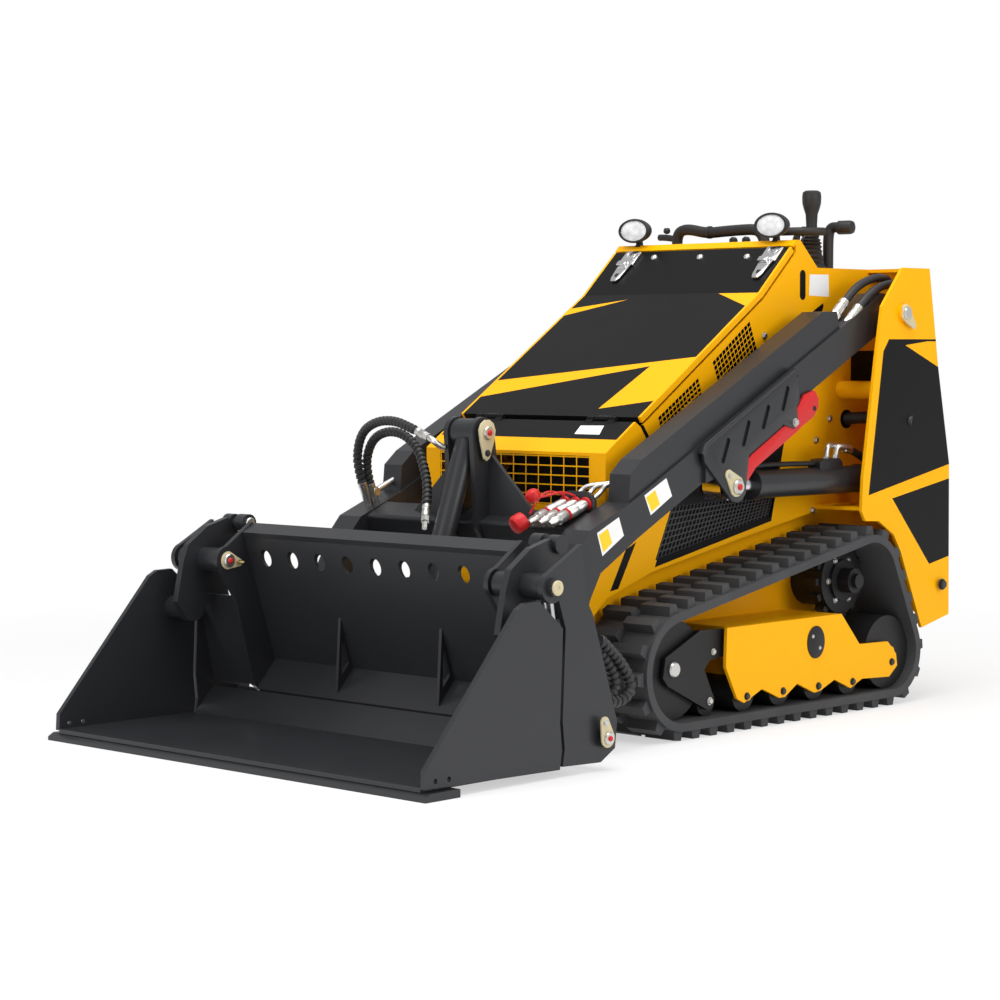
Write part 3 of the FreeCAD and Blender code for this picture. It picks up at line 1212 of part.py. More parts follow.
def work_lamps():
    pieces = []
    for side in SIDES:
        x = f"{side} * 210"
        label = hand(side)
        shell = fuse(f"lamp_{label}", [
            oblong(f"lamp_rim_{label}", x, "apex_y - 19", "apex_z + 35", 24, 27, 10),
            oblong(f"lamp_back_{label}", x, "apex_y - 12", "apex_z + 35", 22, 23, 30),
            block(f"lamp_foot_{label}", f"{x} - 14", "apex_y + 1", "apex_z", 28, 13, 14),
        ])
        glass = oblong(f"lamp_recess_{label}", x, "apex_y - 20", "apex_z + 35", 24, 22, 5)
        pieces.append(cut(f"lamp_hollow_{label}", shell, [glass]))
    node("work_lamps", together("WorkLamps", pieces))


def platform():
    shaft = "platform_half + side_gap + platform_lug"
    pieces = [
        block("platform_plate", "-platform_half", "platform_y", "platform_z - platform_pin_r - 2",
              "2 * platform_half", "platform_thick", "platform_height"),
        rod("platform_shaft", PLATFORM_AXIS, "platform_z", f"-({shaft})", f"2 * ({shaft})", "platform_pin_r"),
    ]
    node("platform", fuse("Platform", pieces))


console()
work_lamps()
platform()


# ---- Check every object, then write one file for each sub-part ----

doc.recompute()
for item in doc.Objects:
    if "Invalid" in item.State or "Error" in item.State:
        raise RuntimeError(f"{item.Name} ({item.Label}) failed: {item.State}")
os.makedirs("parts", exist_ok=True)
for item in nodes:
    if item.Shape.isNull() or not item.Shape.isValid():
        raise RuntimeError(f"{item.Label} has no valid shape")
    item.Shape.exportStep(f"parts/{item.Label}.step")
    print(f"{item.Label}: {len(item.Shape.Solids)} solids, {item.Shape.Volume / 1000:.0f} cm3")
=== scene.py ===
import math

import bpy
from mathutils import Matrix, Vector


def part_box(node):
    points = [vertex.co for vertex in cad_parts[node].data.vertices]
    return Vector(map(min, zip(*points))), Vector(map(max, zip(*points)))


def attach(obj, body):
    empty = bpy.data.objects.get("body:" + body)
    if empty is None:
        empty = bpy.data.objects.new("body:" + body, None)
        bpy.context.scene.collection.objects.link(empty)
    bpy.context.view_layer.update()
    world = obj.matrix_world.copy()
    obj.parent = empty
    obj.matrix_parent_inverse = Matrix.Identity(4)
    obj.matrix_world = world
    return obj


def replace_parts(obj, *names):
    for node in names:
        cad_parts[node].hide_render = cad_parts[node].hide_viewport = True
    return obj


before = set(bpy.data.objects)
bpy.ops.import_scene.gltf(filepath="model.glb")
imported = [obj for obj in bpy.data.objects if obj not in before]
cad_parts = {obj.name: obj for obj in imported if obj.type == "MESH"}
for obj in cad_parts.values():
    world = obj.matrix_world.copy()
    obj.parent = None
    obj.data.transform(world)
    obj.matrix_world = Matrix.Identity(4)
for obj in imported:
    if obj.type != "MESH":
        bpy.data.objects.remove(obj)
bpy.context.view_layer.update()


# ---- Camera ----
# A long lens at chest height, off the left front corner of the machine, looking slightly down at it.
# It frames the whole machine with some floor all round.

EYE = Vector((3.9745, -4.3513, 0.8378))
YAW = math.radians(43.66)
PITCH = math.radians(-3.324)
ROLL = math.radians(-0.089)
FOCAL_MM = 94.2
SENSOR_MM = 36.0
FARTHEST = 200.0
bpy.ops.object.camera_add(location=EYE)
camera = bpy.context.object
camera.data.lens = FOCAL_MM
camera.data.sensor_width = SENSOR_MM
camera.data.clip_end = FARTHEST
aim = Matrix.Rotation(YAW, 3, "Z") @ Matrix.Rotation(math.pi / 2 + PITCH, 3, "X")
aim = aim @ Matrix.Rotation(ROLL, 3, "Z")
camera.rotation_euler = aim.to_euler()
bpy.context.scene.camera = camera


# ---- Bucket ----
# Clam shell, its levers, the holed moldboard, the cheeks and the hitch behind: cut steel plate, folded and
# welded, then sprayed a satin charcoal grey over everything.

BACK = -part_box("clam_shell")[0].y


def spot(x, y, z):
    """Point in metres, for millimetres to the left, back from the cutting edge, and up."""
    return Vector((x / 1000, y / 1000 - BACK, z / 1000))


class Signal:
    """A value that changes over a surface; arithmetic on it adds the Math nodes."""

    def __init__(self, paint, socket):
        self.paint = paint
        self.socket = socket

    def maths(self, operation, *terms):
        return self.paint.node("ShaderNodeMath", {"operation": operation}, dict(enumerate(terms)))

    def __add__(self, other):
        return self.maths("ADD", self, other)

    def __sub__(self, other):
        return self.maths("SUBTRACT", self, other)

    def __rsub__(self, other):
        return self.maths("SUBTRACT", other, self)

    def __mul__(self, other):
        return self.maths("MULTIPLY", self, other)

    def __truediv__(self, other):
        return self.maths("DIVIDE", self, other)

    def __gt__(self, other):
        return self.maths("GREATER_THAN", self, other)

    def __lt__(self, other):
        return self.maths("LESS_THAN", self, other)

    def __abs__(self):
        return self.maths("ABSOLUTE", self)

    def __or__(self, other):
        return self.maths("MAXIMUM", self, other)

    __radd__ = __add__
    __rmul__ = __mul__


MIX_FACTOR = 0
MIX_LOW = 6
MIX_HIGH = 7
MIX_COLOUR_OUT = 2


class Paint:
    """One material, made on the object's own coordinates in metres."""

    def __init__(self, name, roughness, metallic=0.0, gloss=0.5):
        self.material = bpy.data.materials.new(name)
        self.material.use_nodes = True
        self.tree = self.material.node_tree
        self.shader = self.tree.nodes["Principled BSDF"]
        self.shader.inputs["Roughness"].default_value = roughness
        self.shader.inputs["Metallic"].default_value = metallic
        self.shader.inputs["Specular IOR Level"].default_value = gloss
        self.place = self.node("ShaderNodeTexCoord", {}, {}, "Object")
        self.x, self.y, self.z = self.node("ShaderNodeSeparateXYZ", {}, {"Vector": self.place}, "XYZ")

    def node(self, kind, settings, sockets, out=0):
        """Add a node of any kind; out names its output, or several by one letter each."""
        made = self.tree.nodes.new(kind)
        for name, value in settings.items():
            setattr(made, name, value)
        for name, value in sockets.items():
            if isinstance(value, Signal):
                self.tree.links.new(value.socket, made.inputs[name])
            else:
                made.inputs[name].default_value = value
        if out == "XYZ":
            return [Signal(self, made.outputs[letter]) for letter in out]
        return Signal(self, made.outputs[out])

    def noise(self, scale, detail=3.0):
        sockets = {"Vector": self.place, "Scale": scale, "Detail": detail}
        return self.node("ShaderNodeTexNoise", {}, sockets, "Fac")

    def between(self, mask, low, high):
        """Colour that goes from one to another as the mask goes from 0 to 1."""
        sockets = {MIX_FACTOR: mask, MIX_LOW: low, MIX_HIGH: high}
        return self.node("ShaderNodeMix", {"data_type": "RGBA"}, sockets, MIX_COLOUR_OUT)

    def feed(self, name, signal):
        self.tree.links.new(signal.socket, self.shader.inputs[name])

    def bump(self, height, distance, strength=1.0):
        sockets = {"Height": height, "Distance": distance, "Strength": strength}
        self.feed("Normal", self.node("ShaderNodeBump", {}, sockets, "Normal"))


CLOUD_SCALE = 3.0
GLOSS_SCALE = 11.0
PEEL_SCALE = 420.0
PEEL_DEPTH = 0.00012


def shaded(colour, share):
    """The same colour, darker by a share."""
    return [part * share for part in colour[:3]] + [1.0]


def sprayed(name, colour, roughness, spread=0.06, shade=0.9, gloss=0.3):
    """Sprayed metal: a faint orange peel, uneven gloss and a colour that drifts a little."""
    paint = Paint(name, roughness, 0.0, gloss)
    cloud = paint.noise(CLOUD_SCALE)
    paint.colour = paint.between(cloud, shaded(colour, shade), colour)
    paint.feed("Base Color", paint.colour)
    paint.feed("Roughness", (paint.noise(GLOSS_SCALE) - 0.5) * spread * 2 + roughness)
    paint.bump(paint.noise(PEEL_SCALE, 1.0), PEEL_DEPTH, 0.5)
    return paint


def dress(paint, *nodes):
    """Give CAD pieces a material."""
    for name in nodes:
        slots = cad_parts[name].data.materials
        slots.clear()
        slots.append(paint.material)


def inside(u, v, corners):
    """1 inside a convex outline of (u, v) corners and 0 outside."""
    steps = list(zip(corners, corners[1:] + corners[:1]))
    way = math.copysign(1.0, sum(a[0] * b[1] - b[0] * a[1] for a, b in steps))
    mask = None
    for (au, av), (bu, bv) in steps:
        side = (v - av) * ((bu - au) * way) - (u - au) * ((bv - av) * way) > 0
        mask = side if mask is None else mask * side
    return mask


CHARCOAL = (0.021, 0.022, 0.025, 1.0)
SATIN = 0.34
CHARCOAL_GLOSS = 0.45
charcoal = sprayed("charcoal_paint", CHARCOAL, SATIN, gloss=CHARCOAL_GLOSS)
dress(charcoal, "clam_shell", "clam_lever_left", "clam_lever_right")
dress(charcoal, "moldboard", "cheek_left", "cheek_right", "hitch")


# ---- Arms ----
# Box-section lift arms with a raised hose cover on top, welded to the crosshead between them and sprayed
# the same charcoal. The left arm carries two blank stick-on labels, white with a yellow half.

LABEL_WHITE = (0.86, 0.86, 0.85, 1.0)
LABEL_YELLOW = (0.9, 0.62, 0.01, 1.0)
dress(charcoal, "arm_right", "arm_cover_left", "arm_cover_right", "crosshead")

ARM_FACE = 0.3785
labelled = sprayed("labelled_arm_paint", CHARCOAL, SATIN, gloss=CHARCOAL_GLOSS)
arm_y = labelled.y + BACK
on_side = labelled.x > ARM_FACE
label_far = inside(arm_y, labelled.z, [(0.847, 0.526), (0.919, 0.560), (0.938, 0.521), (0.868, 0.483)])
label_near = inside(arm_y, labelled.z, [(0.696, 0.454), (0.765, 0.484), (0.781, 0.444), (0.713, 0.405)])
half_far = inside(arm_y, labelled.z, [(0.852, 0.521), (0.882, 0.536), (0.898, 0.505), (0.871, 0.490)])
half_near = inside(arm_y, labelled.z, [(0.701, 0.449), (0.730, 0.462), (0.744, 0.431), (0.716, 0.412)])
white_part = labelled.between((label_far | label_near) * on_side, labelled.colour, LABEL_WHITE)
labelled.feed("Base Color", labelled.between((half_far | half_near) * on_side, white_part, LABEL_YELLOW))
dress(labelled, "arm_left")


# ---- Hydraulic cylinders ----
# Welded steel barrels, painted with the arms, and turned rods with a hard-chrome skin that grinding leaves
# faintly streaked. The clam rods are bare below and charcoal above: painted shade for the gap behind the
# cheeks.

dress(charcoal, "lift_barrel_left", "lift_barrel_right", "tilt_barrel")
dress(charcoal, "clam_barrel_left", "clam_barrel_right")

STREAK_SHADE = 0.85
STREAK_SPREAD = 0.15


def bright(name, colour, roughness, grain):
    """Bare bright metal with a fine grain."""
    paint = Paint(name, roughness, 1.0)
    streak = paint.noise(grain)
    paint.feed("Base Color", paint.between(streak, shaded(colour, STREAK_SHADE), colour))
    paint.feed("Roughness", streak * STREAK_SPREAD + (roughness - 0.07))
    return paint


chrome = bright("hard_chrome", (0.78, 0.78, 0.79, 1.0), 0.16, 160.0)
zinc = bright("zinc_plate", (0.70, 0.69, 0.66, 1.0), 0.34, 300.0)
dress(chrome, "lift_rod_left", "lift_rod_right", "tilt_rod")

# Above this height the clam rods are painted charcoal, a painted shade; below it they are bare steel.
PAINTED_SHADE_FROM = 0.425
BARE_ROD = (0.6, 0.6, 0.61, 1.0)
shaded_rod = Paint("clam_rod_chrome_and_painted_shade", 0.3, gloss=CHARCOAL_GLOSS)
painted_shade_top = shaded_rod.z > PAINTED_SHADE_FROM
shaded_rod.feed("Base Color", shaded_rod.between(painted_shade_top, BARE_ROD, CHARCOAL))
shaded_rod.feed("Metallic", 1 - painted_shade_top)
dress(shaded_rod, "clam_rod_left", "clam_rod_right")


# ---- Tilt cylinder's hoses ----
# Pair of rubber hydraulic hoses in spiral wrap, from elbows on the right arm over to the tilt cylinder.
# Each ends in a crimped ferrule and a swivel nut, which screws to a pipe elbow.

MERGE_WITHIN = 0.00001
SMOOTH_BELOW = math.radians(35)


def deselect():
    bpy.ops.object.select_all(action="DESELECT")


def settle(piece, paint):
    """Put the piece's place into its mesh, its doubles merged and its faces outwards, and paint it."""
    deselect()
    piece.select_set(True)
    bpy.context.view_layer.objects.active = piece
    bpy.ops.object.transform_apply(location=True, rotation=True, scale=True)
    bpy.ops.object.mode_set(mode="EDIT")
    bpy.ops.mesh.select_all(action="SELECT")
    bpy.ops.mesh.remove_doubles(threshold=MERGE_WITHIN)
    bpy.ops.mesh.normals_make_consistent(inside=False)
    bpy.ops.object.mode_set(mode="OBJECT")
    bpy.ops.object.shade_smooth_by_angle(angle=SMOOTH_BELOW)
    piece.data.materials.clear()
    piece.data.materials.append(paint.material)
    return piece


def turned(rings, place, along, paint, sides=20, stretch=1.0):
    """Round piece: rings of (radius, height) in millimetres, its foot at place, facing along."""
    deselect()
    radius, height = rings[0]
    foot = (0, 0, height / 1000)
    bpy.ops.mesh.primitive_circle_add(vertices=sides, radius=radius / 1000, location=foot, fill_type="NGON")
    piece = bpy.context.object
    bpy.ops.object.transform_apply(location=True)
    bpy.ops.object.mode_set(mode="EDIT")
    for wider, higher in rings[1:]:
        rise = (0, 0, (higher - height) / 1000)
        bpy.ops.mesh.extrude_region_move(TRANSFORM_OT_translate={"value": rise})
        bpy.ops.transform.resize(value=(wider / radius, wider / radius, 1))
        radius, height = wider, higher
    bpy.ops.object.mode_set(mode="OBJECT")
    piece.scale = (stretch, 1, 1)
    piece.rotation_euler = Vector(along).to_track_quat("Z", "Y").to_euler()
    piece.location = place
    return settle(piece, paint)


def joined(name, body, pieces):
    """One object of several, riding on a body."""
    deselect()
    for piece in pieces:
        piece.select_set(True)
    bpy.context.view_layer.objects.active = pieces[0]
    if len(pieces) > 1:
        bpy.ops.object.join()
    whole = bpy.context.object
    whole.name = name
    whole.data.name = name
    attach(whole, body)
    return whole


def route_line(route):
    """NURBS line with the route's points as its control points."""
    deselect()
    bpy.ops.curve.primitive_nurbs_path_add(location=(0, 0, 0))
    line = bpy.context.object
    line.data.splines.clear()
    spline = line.data.splines.new("NURBS")
    spline.points.add(len(route) - 1)
    for point, place in zip(spline.points, route):
        point.co = (*place, 1.0)
    spline.order_u = 3
    spline.use_endpoint_u = True
    spline.resolution_u = 10
    return line


def tube(route, radius, paint):
    """Round tube along a route, closed at its ends."""
    line = route_line(route)
    line.data.bevel_depth = radius / 1000
    line.data.bevel_resolution = 4
    line.data.use_fill_caps = True
    bpy.ops.object.convert(target="MESH")
    return settle(bpy.context.object, paint)


WRAP_LEAN = Vector((0.1, 0.12, 0.14))


def wrap(route, radius, pitch, paint, leave=0.0):
    """Raised turns of spiral wrap along a route, leaving its ends bare for some millimetres."""
    line = route_line(route)
    run = [vertex.co.copy() for vertex in bpy.data.meshes.new_from_object(line).vertices]
    bpy.data.objects.remove(line)
    foot = pitch * 0.42
    crest = pitch * 0.28
    ring = [(radius - 2, -foot), (radius, -crest), (radius, crest), (radius - 2, foot)]
    turns = []
    walked = 0.0
    due = leave
    whole = sum((b - a).length for a, b in zip(run, run[1:])) * 1000
    for a, b in zip(run, run[1:]):
        step = (b - a).length * 1000
        while step > 0 and walked + step >= due and due <= whole - leave:
            place = a.lerp(b, (due - walked) / step)
            lean = (b - a).normalized() + WRAP_LEAN
            turns.append(turned(ring, place, lean, paint, 14))
            due += pitch
        walked += step
    return turns


HOSE_DARK = (0.012, 0.012, 0.013, 1.0)
HOSE_WORN = (0.03, 0.03, 0.032, 1.0)
hose_rubber = Paint("hose_rubber", 0.5)
hose_rubber.feed("Base Color", hose_rubber.between(hose_rubber.noise(30.0), HOSE_DARK, HOSE_WORN))
hose_rubber.bump(hose_rubber.noise(900.0, 2.0), 0.0001, 0.5)

HOSE_R = 8
WRAP_R = HOSE_R + 2.6
WRAP_PITCH = 12.5
BARE_END = 10
SCREWED_IN = 0.004
LONG_FERRULE = [(8, -2), (11, 0), (11, 10), (10, 12), (10, 40), (8, 44), (8, 60), (11, 62), (11, 74),
                (6, 76)]
FERRULE = [(6, 0), (9.5, 2), (9.5, 10), (8.8, 11), (8.8, 14), (9.5, 15), (9.5, 30), (7, 32)]
SWIVEL = [(6, 30), (9.5, 31), (9.5, 44), (6, 45), (6, 62)]

upper_route = [spot(-347, 716, 526), spot(-349, 702, 566), spot(-340, 692, 610), spot(-308, 680, 654),
               spot(-252, 672, 676), spot(-190, 664, 678), spot(-140, 658, 666), spot(-105, 654, 655)]
lower_route = [spot(-345, 738, 524), spot(-347, 729, 556), spot(-340, 721, 594), spot(-308, 712, 636),
               spot(-250, 704, 654), spot(-190, 698, 646), spot(-142, 690, 616), spot(-106, 674, 574),
               spot(-76, 655, 530), spot(-58, 632, 494)]
for name, route in (("hose_upper", upper_route), ("hose_lower", lower_route)):
    hose = [tube(route, HOSE_R, hose_rubber)]
    hose += wrap(route, WRAP_R, WRAP_PITCH, hose_rubber, BARE_END)
    away = route[0] - route[1]
    hose.append(turned(LONG_FERRULE, route[0] - away * 0.2, away, zinc, 16))
    onwards = route[-1] - route[-2]
    tip = route[-1] - onwards.normalized() * SCREWED_IN
    hose.append(turned(FERRULE, tip, onwards, zinc, 16))
    hose.append(turned(SWIVEL, tip, onwards, zinc, 6))
    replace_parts(joined(name, "arms", hose), name.replace("hose", "hose_cross"))

# The upper hose's elbow enters the bracket, and a steel pipe runs on along the right arm's cover.
FITTING_R = 7
LEFTWARDS = (1, 0, 0)
elbow = tube([spot(-64, 648, 643), spot(-50, 645, 638), spot(-44, 655, 628), spot(-40, 668, 622)],
             FITTING_R, zinc)
pipe = tube([spot(-345, 748, 511), spot(-345, 790, 529), spot(-345, 850, 553)], FITTING_R, zinc)
banjo_rings = [(12, -8), (13, -6), (13, 6), (9, 8), (9, 12)]
banjo = turned(banjo_rings, spot(-345, 748, 511), LEFTWARDS, zinc, 16)
joined("hose_fittings", "arms", [elbow, pipe, banjo])


# ---- Clam cylinder's hoses ----
# Two heavy wrapped rubber hoses on each side, which loop behind the bucket from the arm's foot down to the
# clam cylinder. They hang stiffly in their wrap and turn with the bucket.

CLAM_HOSE_R = 10
CLAM_WRAP_R = 13
CLAM_WRAP_PITCH = 15
OUTER_LOOP = [(649, 239), (686, 211), (718, 181), (743, 147), (743, 122), (718, 108), (686, 107),
              (640, 112)]
INNER_LOOP = [(655, 226), (686, 190), (707, 160), (712, 132), (696, 116), (664, 118)]
for side, label in ((-1, "right"), (1, "left")):
    loops = []
    for x, loop in ((430, OUTER_LOOP), (418, INNER_LOOP)):
        route = [spot(side * x, y, z) for y, z in loop]
        loops.append(tube(route, CLAM_HOSE_R, hose_rubber))
        loops += wrap(route, CLAM_WRAP_R, CLAM_WRAP_PITCH, hose_rubber, 6)
    joined("clam_hoses_" + label, "bucket", loops)


# ---- Pin heads ----
# Greased steel pins at each pivot: a zinc-plated head with a red plug over the grease nipple, kept from
# turning by a small flag plate, cut from sheet and held by one bolt.

def plate(outline, thick, paint, bevel=0.8):
    """Flat-cut plate: its outline's corners as places, made thick by a vector, with its edges broken."""
    deselect()
    bpy.ops.mesh.primitive_circle_add(vertices=len(outline), radius=0.1, fill_type="NGON")
    piece = bpy.context.object
    for vertex, place in zip(piece.data.vertices, outline):
        vertex.co = place
    bpy.ops.object.mode_set(mode="EDIT")
    bpy.ops.mesh.select_all(action="SELECT")
    bpy.ops.mesh.extrude_region_move(TRANSFORM_OT_translate={"value": thick})
    bpy.ops.mesh.select_all(action="SELECT")
    bpy.ops.mesh.normals_make_consistent(inside=False)
    bpy.ops.object.mode_set(mode="OBJECT")
    broken = piece.modifiers.new("edges", "BEVEL")
    broken.width = bevel / 1000
    broken.segments = 2
    bpy.context.view_layer.objects.active = piece
    bpy.ops.object.modifier_apply(modifier="edges")
    return settle(piece, paint)


def pin_head(place, along, size, plug=True):
    """Zinc pin head with its chamfer and, in the middle, a red plug."""
    head = [(size, -0.5), (size, size * 0.25), (size * 0.86, size * 0.42)]
    pieces = [turned(head, place, along, zinc, 24)]
    if plug:
        top = Vector(place) + Vector(along).normalized() * size * 0.0004
        button = [(size * 0.42, -0.5), (size * 0.42, 2), (size * 0.25, 4)]
        pieces.append(turned(button, top, along, red, 16))
    return pieces


def bolt(place, along, size, paint):
    """Hexagon bolt head, chamfered, on its washer."""
    washer = [(size * 1.25, -0.5), (size * 1.25, size * 0.2)]
    head = [(size, size * 0.1), (size, size * 0.7), (size * 0.8, size * 0.85)]
    return [turned(washer, place, along, paint, 20), turned(head, place, along, paint, 6)]


red = sprayed("red_paint", (0.62, 0.018, 0.02, 1.0), 0.38)
brass = bright("brass", (0.62, 0.47, 0.20, 1.0), 0.3, 200.0)
FLAG_BEIGE = (0.62, 0.54, 0.34, 1.0)
flag_paint = sprayed("flag_plate_zinc", FLAG_BEIGE, 0.4)
TILT_FLAG = [(680, 662), (686, 675), (698, 683), (712, 683), (724, 675), (730, 660), (727, 640), (712, 600),
             (703, 594), (694, 600), (683, 640)]
tilt_flag = plate([spot(52, y, z) for y, z in TILT_FLAG], (0.005, 0, 0), flag_paint)
tilt_pin = pin_head(spot(57, 705, 655), LEFTWARDS, 15)
tilt_bolt = bolt(spot(57, 704, 611), LEFTWARDS, 6, charcoal)
joined("tilt_pin_head", "arms", [tilt_flag] + tilt_pin + tilt_bolt)


def tab(x, start, end, wide, narrow, thick, paint):
    """Flat tab at one x between two round ends, given as (y, z) with their radii, and thick along x."""
    lean = math.atan2(end[1] - start[1], end[0] - start[0])
    corners = []
    for middle, radius, begin in ((start, wide, lean + math.pi / 2), (end, narrow, lean - math.pi / 2)):
        for step in range(9):
            turn = begin + math.pi * step / 8
            y = middle[0] + radius * math.cos(turn)
            z = middle[1] + radius * math.sin(turn)
            corners.append(spot(x, y, z))
    return plate(corners, (thick / 1000, 0, 0), paint, 0.5)


CHEEK_X = 574
CHEEK_FLAG_X = 578
EAR_X = 404
EAR_FLAG_X = 401
BUTTON = [(15, -1), (15, 2), (13, 3.5), (4, 3.5), (3, 2)]
NIPPLE = [(5, 0), (5, 4), (3.5, 5), (3.5, 14), (2, 16)]
heads = []
for side in (-1, 1):
    out = (side, 0, 0)
    back_in = (-side, 0, 0)
    heads.append(tab(side * CHEEK_X, (507, 66), (498, 98), 19, 12, side * 4, flag_paint))
    heads += bolt(spot(side * CHEEK_FLAG_X, 498, 98), out, 6, zinc)
    heads += pin_head(spot(side * CHEEK_FLAG_X, 507, 66), out, 13)
    heads.append(turned(BUTTON, spot(side * CHEEK_X, 362, 374), out, flag_paint, 24))
    heads.append(tab(side * EAR_X, (362, 374), (392, 368), 20, 9, side * -3, flag_paint))
    heads += pin_head(spot(side * EAR_FLAG_X, 362, 374), back_in, 15)
    heads.append(turned(NIPPLE, spot(side * EAR_FLAG_X, 388, 369), (-side, 0.4, 0), brass, 12))
joined("bucket_pins", "bucket", heads)

levers = []
for side in (-1, 1):
    levers += pin_head(spot(side * 432, 450, 450), (-side, 0, 0), 13, False)
joined("lever_pins", "clam", levers)


# ---- Lift brackets and arm lock ----
# Slotted steel plate standing off each arm's outer side, folded over along its top edge, with the lift
# rod's pin at its foot. On the left a red lock bar, cut from plate, is bolted on by one end and stowed.

BRACKET = [(1028, 606), (1042, 623), (1355, 785), (1366, 735), (1358, 705), (1364, 672), (1350, 655),
           (1308, 666), (1186, 603), (1178, 545), (1174, 517), (1160, 502), (1143, 498), (1124, 503),
           (1111, 516), (1031, 590)]
SLOTS = [((1112, 635), (1094, 592)), ((1183, 672), (1166, 627)), ((1253, 705), (1236, 663)),
         ((1323, 746), (1307, 702))]
LOCK = [(1160, 540), (1184, 590), (1199, 602), (1331, 670), (1385, 722), (1392, 731), (1429, 741),
        (1443, 723), (1443, 703), (1424, 680), (1385, 662), (1364, 649), (1278, 605), (1215, 573),
        (1185, 544)]
FOLD = [(1042, 623), (1355, 785), (1352, 792), (1038, 631), (1022, 610), (1028, 606)]
ARM_X = 380
black = sprayed("black_paint", (0.014, 0.014, 0.015, 1.0), 0.45)
for side, label in ((-1, "right"), (1, "left")):
    out = (side, 0, 0)
    face = plate([spot(side * 386, y, z) for y, z in BRACKET], (side * 0.008, 0, 0), charcoal, 1.2)
    for start, end in SLOTS:
        cutter = tab(side * ARM_X, start, end, 6.5, 6.5, side * 22, black)
        opening = face.modifiers.new("slot", "BOOLEAN")
        opening.operation = "DIFFERENCE"
        opening.object = cutter
        deselect()
        bpy.context.view_layer.objects.active = face
        bpy.ops.object.modifier_apply(modifier="slot")
        bpy.data.objects.remove(cutter)
    pieces = [settle(face, charcoal)]
    pieces.append(plate([spot(side * ARM_X, y, z) for y, z in FOLD], (side * 0.014, 0, 0), charcoal, 1.0))
    # Black discs on the arm behind the slots' lower ends are painted shade, standing in for holes.
    for start, _ in SLOTS:
        hole = spot(side * ARM_X, start[0] - 1, start[1] - 3)
        pieces.append(turned([(6, -1), (6, 1)], hole, out, black, 16))
    pieces.append(tab(side * 394, (1138, 535), (1112, 560), 24, 12, side * 4, flag_paint))
    pieces += pin_head(spot(side * 398, 1140, 533), out, 17)
    pieces += bolt(spot(side * 398, 1113, 559), out, 5, zinc)
    pieces += bolt(spot(side * 394, 1351, 670), out, 8, zinc)
    joined("lift_bracket_" + label, "arms", pieces)
lock = [plate([spot(382, y, z) for y, z in LOCK], (0.009, 0, 0), red, 1.5),
        turned([(6, -0.5), (6, 0.6)], spot(391, 1427, 700), LEFTWARDS, black, 16)]
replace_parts(joined("lock_bar", "arms", lock), "arm_lock")


# ---- Quick couplers ----
# Three flat-face couplers on a black bracket at the left arm's foot, with red rings and dust caps, and
# the bent steel pipes that feed them out of the arm's cover.

COUPLER_X = (232, 262, 290)
COUPLER_FOOT = (766, 510)
COUPLER_WAY = (0, -0.950, -0.314)
BODY_RINGS = [(10, -4), (10, 12), (12.5, 15), (12.5, 33), (11.5, 35), (11.5, 38), (13.3, 40), (13.3, 62),
              (12, 64), (12, 72), (12.9, 74), (12.9, 96), (10, 100), (10, 116), (6.5, 121), (6.5, 126)]
BAND = [(12.4, 65), (13.9, 66), (13.9, 70), (12.4, 71)]
COLLAR = [(10, 1), (14.5, 2), (14.5, 6), (11, 8)]
UNION = [(9, -2), (11, 0), (11, 14), (7, 16)]
STAND = [(212, 479), (310, 479), (310, 514), (302, 527), (288, 534), (234, 534), (220, 528), (212, 516)]
LARGE_CAP = [(15, 0), (19, 3), (20, 8), (20, 24), (17, 29), (8, 31)]
SMALL_CAP = [(7, 0), (14, 4), (17, 11), (16, 20), (10, 26), (4, 28)]
shapes = []
for x in COUPLER_X:
    foot = spot(x, *COUPLER_FOOT)
    shapes.append(turned(BODY_RINGS, foot, COUPLER_WAY, zinc, 24))
    shapes.append(turned(BAND, foot, COUPLER_WAY, red, 24))
    shapes.append(turned(COLLAR, foot, COUPLER_WAY, red, 20))
    shapes.append(turned(UNION, spot(x, 772, 512), (0, 0.93, 0.36), zinc, 6))
shapes.append(plate([spot(x, 766, z) for x, z in STAND], (0, 0.008, 0), charcoal))
shapes.append(turned(LARGE_CAP, spot(226, 640, 478), (-0.25, -0.85, -0.45), red, 24))
shapes.append(turned(SMALL_CAP, spot(240, 660, 516), (-0.35, -0.3, 0.85), red, 24))
for x, cap in ((232, spot(232, 650, 490)), (262, spot(240, 655, 522))):
    strap = [spot(x, 758, 524), spot(x - 6, 730, 536), spot(x - 14, 695, 528), cap]
    shapes.append(tube(strap, 2.5, red))
for index, x in enumerate(COUPLER_X):
    feed = [spot(x, 784, 517), spot(x, 806, 527), spot(x + 8, 820, 544 + 3 * index),
            spot(300 + 8 * index, 848, 549 - 5 * index), spot(312 + 9 * index, 884, 575 - 7 * index),
            spot(326 + 8 * index, 915, 595 - 8 * index)]
    shapes.append(tube(feed, 5.5, zinc))
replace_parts(joined("coupler_bank", "arms", shapes), "couplers")


# ---- Hood lid and header ----
# Sloping lid of pressed steel, hinged at its foot and sprayed yellow; a black film, cut to leave two
# diagonal flashes and a corner bare, is laid over it. The strip below it has one blank white label.

YELLOW = (0.97, 0.45, 0.003, 1.0)
FILM_AND_SHADE_BLACK = (0.007, 0.007, 0.0075, 1.0)
LID_SLOPE = math.atan2(0.282, 0.428)
LID_FOOT_Y = 0.951
LID_FOOT_Z = 0.682


def sprayed_yellow(name):
    """The machine's yellow: satin, even and without much shine."""
    return sprayed(name, YELLOW, SATIN, 0.05, 0.95, 0.1)


def filmed(name, covered):
    """Yellow paint with black, for film and for painted shade, where the given function of the paint says
    so.
    """
    paint = sprayed_yellow(name)
    paint.filmed = paint.between(covered(paint), paint.colour, FILM_AND_SHADE_BLACK)
    paint.feed("Base Color", paint.filmed)
    return paint


